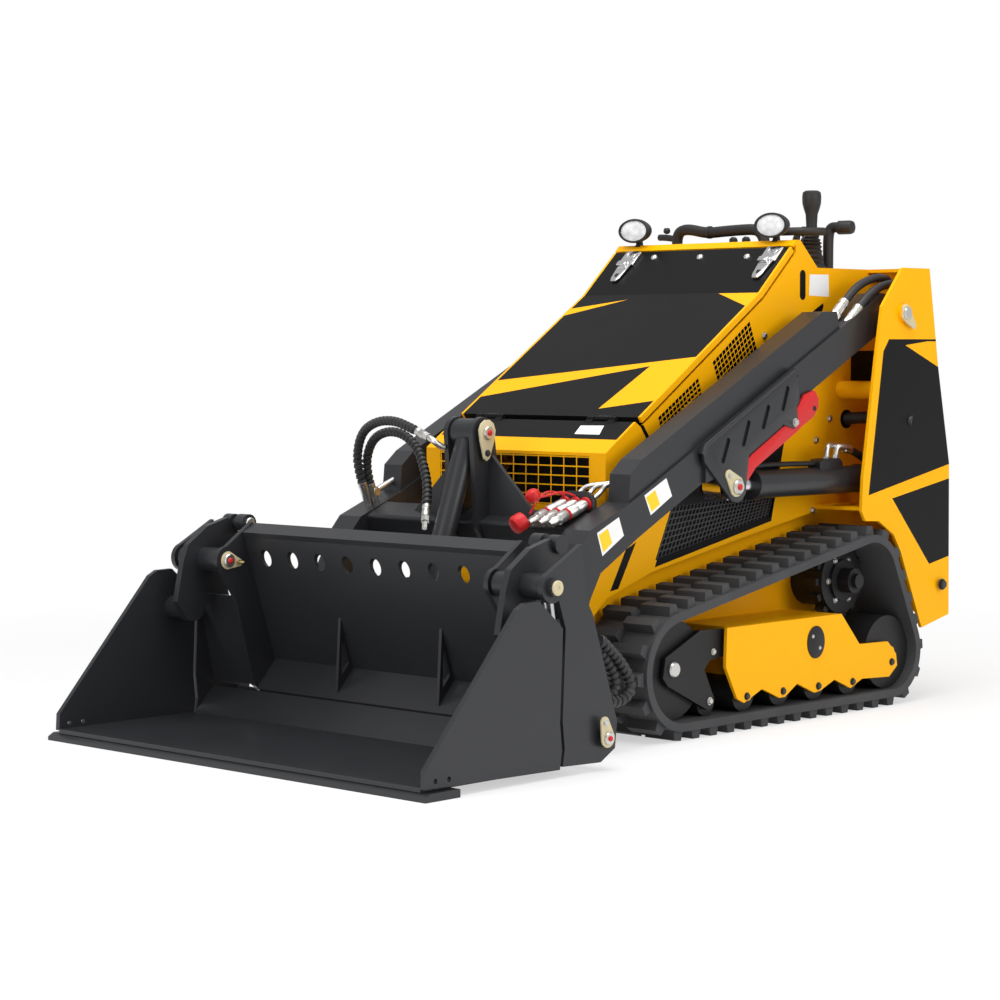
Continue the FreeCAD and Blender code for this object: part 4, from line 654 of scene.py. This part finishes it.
def up_lid(paint):
    """Metres up the lid's slope from its foot."""
    run = (paint.y + BACK - LID_FOOT_Y) * math.cos(LID_SLOPE)
    return run + (paint.z - LID_FOOT_Z) * math.sin(LID_SLOPE)


def strip_film(paint):
    """Black in a strip below the lid's seam."""
    along = up_lid(paint)
    return (along > -0.0765) * (along < 0.01)


def lid_film(paint):
    """Black but for two flashes, a wedge, a corner and the lid's two edges."""
    along = up_lid(paint)
    flash = inside(paint.x, along, [(-0.284, 0.142), (0.284, 0.250), (0.159, 0.209), (-0.292, 0.070)])
    field = inside(paint.x, along, [(0.159, 0.209), (0.284, 0.250), (0.287, 0.079), (0.129, 0.039)])
    wedge = inside(paint.x, along, [(-0.285, 0.416), (-0.285, 0.450), (-0.113, 0.491)])
    corner = inside(paint.x, along, [(0.151, 0.511), (0.280, 0.511), (0.280, 0.449)])
    edge = abs(paint.x) > 0.2655
    return 1 - (flash | field | wedge | corner | edge)


dress(filmed("hood_film", lid_film), "hood_lid")
strip = filmed("strip_film", strip_film)
STICKER = [(0.131, -0.059), (0.126, -0.027), (0.193, -0.025), (0.204, -0.059)]
sticker = inside(strip.x, up_lid(strip), STICKER)
strip.feed("Base Color", strip.between(sticker, strip.filmed, LABEL_WHITE))
dress(strip, "front_panel")


# ---- Header bolts and hood latches ----
# Three round-headed zinc bolts across the header, and two draw latches of chromed pressed steel, each
# bolted on at its head, that hold the hood shut.

CREASE_Y = 1379
CREASE_Z = 964
HEADER_WAY = Vector((0, 116, 106)).normalized()
HEADER_OUT = HEADER_WAY.cross(Vector((-1, 0, 0)))


def on_header(x, along, lift=0.0):
    """Point of the header, for millimetres to the left, up its slope from the crease, and off its face."""
    return spot(x, CREASE_Y, CREASE_Z) + (HEADER_WAY * along + HEADER_OUT * lift) / 1000


ROUND_HEAD = [(8.5, -1), (8.5, 2), (6.5, 5), (3, 6.5)]
rounds = []
for x, along in ((-129, 134), (16, 130), (160, 126)):
    rounds.append(turned(ROUND_HEAD, on_header(x, along), HEADER_OUT, zinc, 20))
joined("header_bolts", "hood", rounds)

TONGUE = [(-8, 44), (8, 44), (13, 56), (19, 108), (-19, 108), (-13, 56)]
HEAD = [(-24, 104), (24, 104), (24, 150), (14, 154), (-24, 154)]
LOOP = [(-20, 96), (8, 96), (8, 112), (-20, 112)]
# The thin black sheet on each latch's tongue is painted shade for its keyhole, which is not cut.
KEYHOLE = [(-4, 58), (4, 58), (6, 70), (-6, 70)]
for name, middle in (("right", -200), ("left", 232)):
    latch = [plate([on_header(middle + u, v, 2) for u, v in TONGUE], HEADER_OUT * 0.006, chrome, 2.0),
             plate([on_header(middle + u, v, -1) for u, v in HEAD], HEADER_OUT * 0.008, chrome, 1.5),
             plate([on_header(middle + u, v, 6) for u, v in LOOP], HEADER_OUT * 0.009, chrome, 2.5),
             plate([on_header(middle + u, v, 7.4) for u, v in KEYHOLE], HEADER_OUT * 0.001, black, 0.3)]
    latch += bolt(on_header(middle + 13, 130, 7), HEADER_OUT, 7, chrome)
    latch += bolt(on_header(middle - 12, 138, 7), HEADER_OUT, 5, chrome)
    joined("hood_latch_" + name, "hood", latch)


# ---- Body panels ----
# Folded and welded sheet steel, sprayed yellow. Black film covers fields of the side walls and the towers;
# the walls' small vents, slot and ports are not cut, but painted dark between yellow bars as painted shade.

def rounded(u, v, middle, reach, radius):
    """1 inside a slot with round ends: its middle, half the run between its ends, and their radius."""
    along = abs(u - middle[0]) - reach
    beyond = along * (along > 0)
    across = v - middle[1]
    return beyond * beyond + across * across < radius * radius


def meshes(y, z, corners, columns, rows, half_bar):
    """1 in the meshes of a slanted window, and 0 on its bars and outside it."""
    (y0, z0), (y1, z1), _, (y3, z3) = corners
    across = math.hypot(y1 - y0, z1 - z0) / columns
    down = math.hypot(y3 - y0, z3 - z0) / rows
    area = (y1 - y0) * (z3 - z0) - (z1 - z0) * (y3 - y0)
    u = ((y - y0) * (z3 - z0) - (z - z0) * (y3 - y0)) * (columns / area)
    v = ((z - z0) * (y1 - y0) - (y - y0) * (z1 - z0)) * (rows / area)
    cell_u = abs(u.maths("FRACT", u) - 0.5) < 0.5 - half_bar / across
    cell_v = abs(v.maths("FRACT", v) - 0.5) < 0.5 - half_bar / down
    return cell_u * cell_v * (u > 0) * (u < columns) * (v > 0) * (v < rows)


VENT_HALF_BAR = 0.0012


def wall_film_and_painted_shade(paint):
    """Black film fields under the arm and a slanted stripe, and painted shade in the holes and vents of a
    side wall.
    """
    y = paint.y + BACK
    low = inside(y, paint.z, [(1.008, 0.357), (1.423, 0.439), (1.476, 0.641), (1.100, 0.545)])
    high = inside(y, paint.z, [(1.100, 0.545), (1.476, 0.641), (1.619, 0.934), (1.617, 0.942),
                               (1.450, 0.858)])
    stripe = inside(y, paint.z, [(0.860, 0.314), (0.887, 0.318), (0.946, 0.416), (0.912, 0.402)])
    seam = inside(y, paint.z, [(0.956, 0.672), (0.963, 0.680), (1.005, 0.622), (0.998, 0.615)])
    # The slot, the ports, the opening and the vents are not cut: they are painted dark, a painted shade for
    # openings.
    slot = rounded(paint.z, y, (0.983, 1.538), 0.024, 0.011)
    port = rounded(y, paint.z, (1.712, 0.668), 0.002, 0.022)
    gap = inside(y, paint.z, [(1.728, 0.722), (1.830, 0.722), (1.830, 0.830), (1.728, 0.830)])
    rear_vent = [(1.206, 0.806), (1.340, 0.899), (1.366, 0.835), (1.234, 0.741)]
    front_vent = [(1.018, 0.686), (1.157, 0.772), (1.175, 0.716), (1.036, 0.635)]
    vents = meshes(y, paint.z, rear_vent, 12, 6, VENT_HALF_BAR)
    vents = vents | meshes(y, paint.z, front_vent, 12, 5, VENT_HALF_BAR)
    return low | high | stripe | seam | slot | port | gap | vents


TOWER_FACE = 0.416


def tower_film(paint):
    """Black panel with a bare flag, and a black foot, on a tower's outer face."""
    y = paint.y + BACK
    panel = inside(y, paint.z, [(1.655, 0.829), (1.677, 0.857), (1.870, 0.857), (1.960, 0.564),
                                (1.600, 0.496)])
    flag = inside(y, paint.z, [(1.743, 0.843), (1.833, 0.852), (1.900, 0.852), (1.900, 0.783)])
    foot = inside(y, paint.z, [(1.694, 0.485), (1.960, 0.529), (1.960, 0.342), (1.847, 0.322)])
    outer = abs(paint.x) > TOWER_FACE
    return ((panel * (1 - flag)) | foot) * outer


yellow = sprayed_yellow("yellow_paint")
walls = filmed("wall_film_and_painted_shade", wall_film_and_painted_shade)
plaque = inside(walls.y + BACK, walls.z, [(1.565, 1.008), (1.638, 1.009), (1.640, 0.957), (1.563, 0.959)])
left_only = walls.x > 0.27
walls.feed("Base Color", walls.between(plaque * left_only, walls.filmed, LABEL_WHITE))
dress(walls, "side_wall_left", "side_wall_right")
dress(filmed("tower_film", tower_film), "tower_left", "tower_right")
dress(yellow, "cowl", "rear_wall", "chassis")

GRILLE_CORNER = (-0.2255, 0.4985)
GRILLE_PITCH = (0.03758, 0.0208)
BAR_SHARE = (0.040, 0.068)
WELL_ABOVE_ZERO = 20.0
# The grille's openings are not cut: the cells between its yellow bars are painted black, for the black
# engine behind them and for painted shade.
bars = sprayed_yellow("grille_yellow")
column = (bars.x - GRILLE_CORNER[0]) / GRILLE_PITCH[0] + 0.5
row = (bars.z - GRILLE_CORNER[1]) / GRILLE_PITCH[1] + 0.5
upright = abs(column.maths("FRACT", column + WELL_ABOVE_ZERO) - 0.5) < BAR_SHARE[0]
level = abs(row.maths("FRACT", row + WELL_ABOVE_ZERO) - 0.5) < BAR_SHARE[1]
bars.feed("Base Color", bars.between(upright | level, FILM_AND_SHADE_BLACK, bars.colour))
dress(bars, "front_grille")

SHEET_GREY = (0.05, 0.05, 0.053, 1.0)
LOWER_SHEET_TO = 0.57
sheet = sprayed("mesh_sheet_paint", SHEET_GREY, 0.45)
sheet.feed("Base Color", sheet.between(sheet.z > LOWER_SHEET_TO, sheet.colour, FILM_AND_SHADE_BLACK))
dress(sheet, "side_mesh_left", "side_mesh_right")
dress(black, "engine_block")


# ---- Tower fittings ----
# Arm pivot's flag plate and pin, steel bolts in the tower and the side wall, and the rubber hoses that
# leave the tower for the left arm, each crimped into a zinc-plated ferrule.

PLATE_X = 426
WALL_X = 272
PIVOT_FLAG = [(1716, 934), (1730, 940), (1746, 932), (1752, 916), (1772, 890), (1764, 880), (1735, 893),
              (1714, 908)]
pivot_flag = plate([spot(PLATE_X, y, z) for y, z in PIVOT_FLAG], (0.004, 0, 0), flag_paint)
fittings = [pivot_flag] + pin_head(spot(PLATE_X + 3, 1732, 918), LEFTWARDS, 15, False)
fittings += bolt(spot(PLATE_X, 1889, 271), LEFTWARDS, 11, charcoal)
for y, z in ((1644, 670), (1592, 621), (1580, 457), (1394, 865)):
    fittings += bolt(spot(WALL_X, y, z), LEFTWARDS, 7, zinc)
joined("tower_fittings", "machine", fittings)

ARM_HOSE_R = 10
ARM_FERRULE = [(8, -4), (12.5, 0), (12.5, 14), (11, 15), (11, 20), (12.5, 21), (12.5, 44), (9, 46)]
ARM_NUT = [(8, 44), (13, 45), (13, 62), (8, 63), (8, 80)]
bundle = []
for x, low, high in ((338, 0, 0), (366, -14, 16)):
    route = [spot(x, 1612 + high, 944 + low), spot(x, 1648 + high, 974 + low),
             spot(x, 1700 + high, 996 + low), spot(x, 1760 + high, 1004 + low),
             spot(x - 12, 1812 + high, 994 + low), spot(x - 30, 1850, 960)]
    away = route[0] - route[1]
    bundle.append(tube(route, ARM_HOSE_R, hose_rubber))
    bundle.append(turned(ARM_FERRULE, route[0], away, zinc, 18))
    bundle.append(turned(ARM_NUT, route[0], away, zinc, 6))
for x, low in ((330, -44), (352, -62)):
    route = [spot(x, 1590, 905 + low), spot(x, 1640, 950 + low), spot(x, 1702, 985 + low),
             spot(x, 1760, 1000 + low), spot(x, 1820, 985 + low)]
    bundle.append(tube(route, 9, hose_rubber))
route = [spot(268, 1712, 668), spot(320, 1724, 674), spot(380, 1752, 670), spot(418, 1772, 664)]
bundle.append(tube(route, 14, hose_rubber))
joined("tower_hoses", "machine", bundle)

# The left lift cylinder's port block, with two bent pipes, their nuts, a short hose and the feed pipe
# that runs forward along the barrel.
UPWARDS = (0, 0, 1)
PORT_BLOCK = [(1486, 552), (1486, 574), (1500, 582), (1562, 582), (1574, 572), (1574, 552)]
long_bend = [spot(345, 1533, 562), spot(345, 1533, 604), spot(345, 1548, 614), spot(345, 1590, 606),
             spot(345, 1627, 599)]
short_bend = [spot(352, 1560, 574), spot(352, 1560, 602), spot(356, 1572, 612), spot(362, 1606, 604)]
short_hose = [spot(345, 1622, 600), spot(345, 1660, 590), spot(345, 1690, 571)]
feed_pipe = [spot(345, 1214, 566), spot(345, 1252, 574), spot(345, 1400, 574), spot(345, 1500, 571)]
port = [tube(long_bend, FITTING_R, zinc),
        turned([(11, 0), (11, 12), (9, 13), (9, 24)], spot(345, 1533, 562), UPWARDS, zinc, 6),
        turned([(9, 0), (11, 2), (11, 26), (8, 28)], spot(345, 1600, 604), (0, 1, -0.2), zinc, 14),
        tube(short_hose, 9, hose_rubber),
        tube(short_bend, FITTING_R, zinc),
        turned([(11, 0), (11, 10), (9, 11), (9, 22)], spot(352, 1560, 568), UPWARDS, zinc, 6),
        tube(feed_pipe, 6, black),
        plate([spot(328, y, z) for y, z in PORT_BLOCK], (0.036, 0, 0), black, 2.0)]
joined("lift_port", "lift_barrel_body_left", port)


# ---- Undercarriage ----
# Moulded rubber tracks with their lugs, on steel rollers, an idler and a sprocket. The track frame is cut
# and folded plate in the machine's yellow; the tensioner fork and the wheels are black.

RUBBER_DARK = (0.030, 0.031, 0.033, 1.0)
RUBBER_SCUFFED = (0.075, 0.076, 0.080, 1.0)
rubber = Paint("track_rubber", 0.72, gloss=0.3)
scuff = rubber.noise(9.0, 6.0)
rubber.feed("Base Color", rubber.between(scuff, RUBBER_DARK, RUBBER_SCUFFED))
rubber.feed("Roughness", scuff * 0.25 + 0.55)
rubber.bump(rubber.noise(260.0, 2.0), 0.0004, 0.6)
dress(rubber, "track_left", "track_right")
dress(yellow, "track_frame_left", "track_frame_right")
dress(black, "idler_fork_left", "idler_fork_right", "sprocket_left", "sprocket_right")
dress(black, "wheels_left", "wheels_right")


# ---- Track frame fastenings ----
# Black roller bolts and a blanked inspection cover of thin plate, with its two screws, on each track
# frame, and the zinc-plated bolts of the tensioner fork and the sprocket.

FRAME_X = 420
FORK_X = 402
HUB_X = 340
HUB_CENTRE = (1603, 295)
NUT_CIRCLE = 52
OVAL_CENTRE = (1397, 172)
OVAL_REACH = (32, 37)
OVAL_TURNS = [math.tau * step / 28 for step in range(28)]
covers = []
for side in (-1, 1):
    out = (side, 0, 0)
    for y, z in ((1147, 73), (1277, 72), (1408, 71), (1539, 69), (1693, 101)):
        covers += bolt(spot(side * FRAME_X, y, z), out, 7, charcoal)
    rim = []
    for turn in OVAL_TURNS:
        y = OVAL_CENTRE[0] + OVAL_REACH[0] * math.cos(turn)
        z = OVAL_CENTRE[1] + OVAL_REACH[1] * math.sin(turn)
        rim.append(spot(side * (FRAME_X - 0.5), y, z))
    covers.append(plate(rim, (side * 0.003, 0, 0), black, 0.6))
    for y, z in ((1384, 186), (1410, 158)):
        covers += bolt(spot(side * (FRAME_X + 2), y, z), out, 3.5, zinc)
    covers += pin_head(spot(side * FORK_X, 917, 151), out, 17, False)
    covers += bolt(spot(side * FORK_X, 1040, 71), out, 7, zinc)
    covers += bolt(spot(side * FORK_X, 1052, 178), out, 6, zinc)
    for step in range(6):
        turn = math.tau * step / 6
        y = HUB_CENTRE[0] + NUT_CIRCLE * math.cos(turn)
        z = HUB_CENTRE[1] + NUT_CIRCLE * math.sin(turn)
        covers += bolt(spot(side * HUB_X, y, z), out, 6, zinc)
joined("track_fastenings", "machine", covers)


# ---- Operator's end ----
# Moulded plastic control box with a joystick in its corrugated rubber boot, a cross bar and grip, a
# rubber-covered grab bar behind the header, and the folding step of black sheet steel.

PLASTIC_DARK = (0.012, 0.012, 0.013, 1.0)
PLASTIC_WORN = (0.024, 0.024, 0.025, 1.0)
plastic = Paint("black_plastic", 0.5, gloss=0.35)
plastic.feed("Base Color", plastic.between(plastic.noise(6.0), PLASTIC_DARK, PLASTIC_WORN))
plastic.bump(plastic.noise(700.0, 2.0), 0.0002, 0.7)
dress(black, "platform")

BOX_SIZE = (0.240, 0.150, 0.060)
deselect()
bpy.ops.mesh.primitive_cube_add(size=1, location=spot(-30, 1700, 1054), scale=BOX_SIZE)
box = bpy.context.object
bpy.ops.object.transform_apply(location=True, rotation=True, scale=True)
bpy.ops.object.mode_set(mode="EDIT")
bpy.ops.mesh.select_all(action="DESELECT")
bpy.ops.mesh.select_mode(type="FACE")
bpy.ops.object.mode_set(mode="OBJECT")
for face in box.data.polygons:
    face.select = face.normal.z > 0.9
bpy.ops.object.mode_set(mode="EDIT")
bpy.ops.mesh.inset(thickness=0.014)
bpy.ops.mesh.extrude_region_move(TRANSFORM_OT_translate={"value": (0, 0, -0.006)})
bpy.ops.object.mode_set(mode="OBJECT")
soft_edges = box.modifiers.new("edges", "BEVEL")
soft_edges.width = 0.006
soft_edges.segments = 3
bpy.ops.object.modifier_apply(modifier="edges")
controls = [settle(box, plastic)]

BOOT = [(36, -56), (36, -44), (28, -36), (31, -30), (24, -24), (28, -18), (23, -12), (27, -6), (22, 0),
        (26, 5), (21, 10), (26, 14), (20, 18), (23, 22), (17, 26), (20, 30), (16, 34), (17, 38)]
STICK = [(14, 42), (13.5, 60), (15, 84), (20, 99), (23, 111), (23.5, 126), (22, 137), (16, 141.3), (6, 142)]
THUMB_BUTTON = [(6, 0), (6, 3), (4, 4.5)]
GRIP = [(13, 0), (17, 3), (17, 34), (15, 40), (8, 43)]
LEVER = [(6, 0), (5, 22), (10, 26), (11, 34), (7, 40)]
CLAMP = [(13, 0), (15.5, 1), (15.5, 9), (13, 10)]
KNOB = [(3, 0), (8, 3), (9, 9), (6, 15)]
GRAB = [(-204, 1030), (-204, 1076), (-205, 1106), (-196, 1126), (-166, 1130), (-110, 1118), (-60, 1121),
        (0, 1123), (40, 1123), (58, 1114), (68, 1096), (70, 1070), (70, 1030)]
GRAB_Y = 1655
cross_bar = [spot(60, 1734, 1119), spot(100, 1734, 1119), spot(128, 1768, 1119), spot(138, 1800, 1119)]
post = [spot(116, 1846, 1024), spot(116, 1846, 1070), spot(116, 1847, 1114), spot(120, 1852, 1131),
        spot(140, 1854, 1131), spot(150, 1854, 1130)]
key_stem = [spot(-262, GRAB_Y, 1112), spot(-240, GRAB_Y, 1112), spot(-204, GRAB_Y, 1106)]
controls.append(turned(BOOT + STICK, spot(100, 1800, 1078), UPWARDS, plastic, 24))
controls.append(turned(THUMB_BUTTON, spot(100, 1822, 1200), (0, 1, 0.1), red, 16))
controls.append(tube(cross_bar, 10, plastic))
controls.append(tube(post, 13, plastic))
controls.append(turned(GRIP, spot(140, 1854, 1130), (1, 0.1, 0), plastic, 24))
for x, reach in ((60, 34), (72, 46), (84, 26)):
    cable = [spot(x, 1780, 1080), spot(x + 3, 1778, 1080 + reach), spot(x + 18, 1800, 1084 + reach),
             spot(x + 30, 1822, 1060), spot(x + 32, 1826, 1030)]
    controls.append(tube(cable, 5, hose_rubber))
for x in (-110, -70):
    controls.append(turned(LEVER, spot(x, 1750, 1072), (0, 0.3, 1), plastic, 18))
controls.append(tube([spot(x, GRAB_Y, z) for x, z in GRAB], 13.5, plastic))
controls.append(turned(CLAMP, spot(-106, GRAB_Y, 1120), LEFTWARDS, charcoal, 20))
controls.append(tube(key_stem, 8, plastic))
controls.append(turned(KNOB, spot(-238, GRAB_Y, 1120), UPWARDS, plastic, 18))
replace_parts(joined("controls", "machine", controls), "console")


# ---- Work lamps ----
# Two oval work lamps behind the hood's header: moulded black shells on short stems, with clear pressed
# lenses, faceted so that they scatter the light; their white colour, greyer at facet rims, is painted
# reflection.

LENS_PAINTED_GLINT = (0.98, 0.98, 0.98, 1.0)
LENS_PAINTED_SHADE = (0.55, 0.56, 0.58, 1.0)
lens_glass = Paint("lamp_lens", 0.12)
cells = {"Vector": lens_glass.place, "Scale": 70.0}
facets = lens_glass.node("ShaderNodeTexVoronoi", {"feature": "F1"}, cells, "Distance")
lens_glass.feed("Base Color", lens_glass.between(facets * 0.8, LENS_PAINTED_GLINT, LENS_PAINTED_SHADE))
lens_glass.bump(facets, 0.001, 0.8)

OVAL = 1.68
FORWARDS = (0, -1, 0)
SHELL = [(12, -24), (20, -18), (26, -8), (29, 2), (29.5, 8), (28, 12), (25, 12), (24, 7)]
LENS = [(24.5, 0), (24.5, 1), (18, 3), (9, 4)]
lenses = []
shells = []
for x in (-210, 210):
    shells.append(turned(SHELL, spot(x, 1505, 1122), FORWARDS, plastic, 48, OVAL))
    shells.append(turned([(13, 0), (9, 5), (8, 14)], spot(x, 1518, 1084), UPWARDS, plastic, 16))
    lenses.append(turned(LENS, spot(x, 1497, 1122), FORWARDS, lens_glass, 48, OVAL))
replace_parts(joined("lamp_shells", "machine", shells), "work_lamps")
joined("lamp_lenses", "machine", lenses)


# ---- Studio ----
# Pale floor that keeps the machine's shadow and turns to plain white further out, a white surround, one
# wide soft lamp above, and two low fills, from the left and from the front.

WHITE = (1.0, 1.0, 1.0, 1.0)
FLOOR_GREY = (0.86, 0.86, 0.86, 1.0)


def far_white(name, near, far, least):
    """White ground: it keeps the shadow near the machine, and is plain white further out."""
    ground = Paint(name, 0.9)
    reach = ground.node("ShaderNodeVectorMath", {"operation": "LENGTH"}, {0: ground.place}, "Value")
    away = ground.node("ShaderNodeMapRange", {"interpolation_type": "SMOOTHSTEP"},
                       {"Value": reach, "From Min": near, "From Max": far, "To Min": least, "To Max": 1.0})
    seen = ground.node("ShaderNodeLightPath", {}, {}, "Is Camera Ray")
    glossy = ground.node("ShaderNodeLightPath", {}, {}, "Is Glossy Ray")
    through = ground.node("ShaderNodeLightPath", {}, {}, "Is Transmission Ray")
    glow = ground.node("ShaderNodeEmission", {}, {"Color": WHITE, "Strength": 1.0})
    ground.shader.inputs["Base Color"].default_value = FLOOR_GREY
    ground.shader.inputs["Specular IOR Level"].default_value = 0.0
    matt = Signal(ground, ground.shader.outputs[0])
    mixed = ground.node("ShaderNodeMixShader", {}, {0: away * (seen | glossy | through), 1: matt, 2: glow})
    ground.tree.links.new(mixed.socket, ground.tree.nodes["Material Output"].inputs["Surface"])
    return ground


deselect()
bpy.ops.mesh.primitive_circle_add(vertices=64, radius=60.0, fill_type="NGON")
floor = bpy.context.object
floor.name = "studio_floor"
SHADOW_TO = 1.2
WHITE_FROM = 3.2
LEAST_GLOW = 0.55
floor.data.materials.append(far_white("studio_floor", SHADOW_TO, WHITE_FROM, LEAST_GLOW).material)

SKY_STRENGTH = 0.55
world = bpy.data.worlds.new("studio")
bpy.context.scene.world = world
world.use_nodes = True
sky = world.node_tree
paths = sky.nodes.new("ShaderNodeLightPath")
lit = sky.nodes["Background"]
lit.inputs["Color"].default_value = WHITE
lit.inputs["Strength"].default_value = SKY_STRENGTH
plain = sky.nodes.new("ShaderNodeBackground")
plain.inputs["Strength"].default_value = 1.0
plain.inputs["Color"].default_value = WHITE
either = sky.nodes.new("ShaderNodeMath")
either.operation = "MAXIMUM"
either.use_clamp = True
sky.links.new(paths.outputs["Is Camera Ray"], either.inputs[0])
sky.links.new(paths.outputs["Is Transmission Ray"], either.inputs[1])
mix = sky.nodes.new("ShaderNodeMixShader")
sky.links.new(either.outputs[0], mix.inputs[0])
sky.links.new(lit.outputs[0], mix.inputs[1])
sky.links.new(plain.outputs[0], mix.inputs[2])
sky.links.new(mix.outputs[0], sky.nodes["World Output"].inputs["Surface"])


def softbox(name, place, target, width, power):
    """Square soft lamp that faces a target."""
    bpy.ops.object.light_add(type="AREA", location=place)
    lamp = bpy.context.object
    lamp.name = name
    lamp.data.shape = "SQUARE"
    lamp.data.size = width
    lamp.data.energy = power
    lamp.rotation_euler = (Vector(target) - Vector(place)).to_track_quat("-Z", "Y").to_euler()


softbox("ceiling", (0.6, -0.6, 4.2), (0.0, 0.0, 0.4), 3.6, 158.0)
softbox("left_fill", (5.0, 0.6, 2.2), (0.2, 0.2, 0.5), 2.6, 70.0)
softbox("front_fill", (0.5, -5.5, 1.8), (0.0, -0.4, 0.5), 2.6, 60.0)

bpy.context.scene.view_settings.view_transform = "Standard"
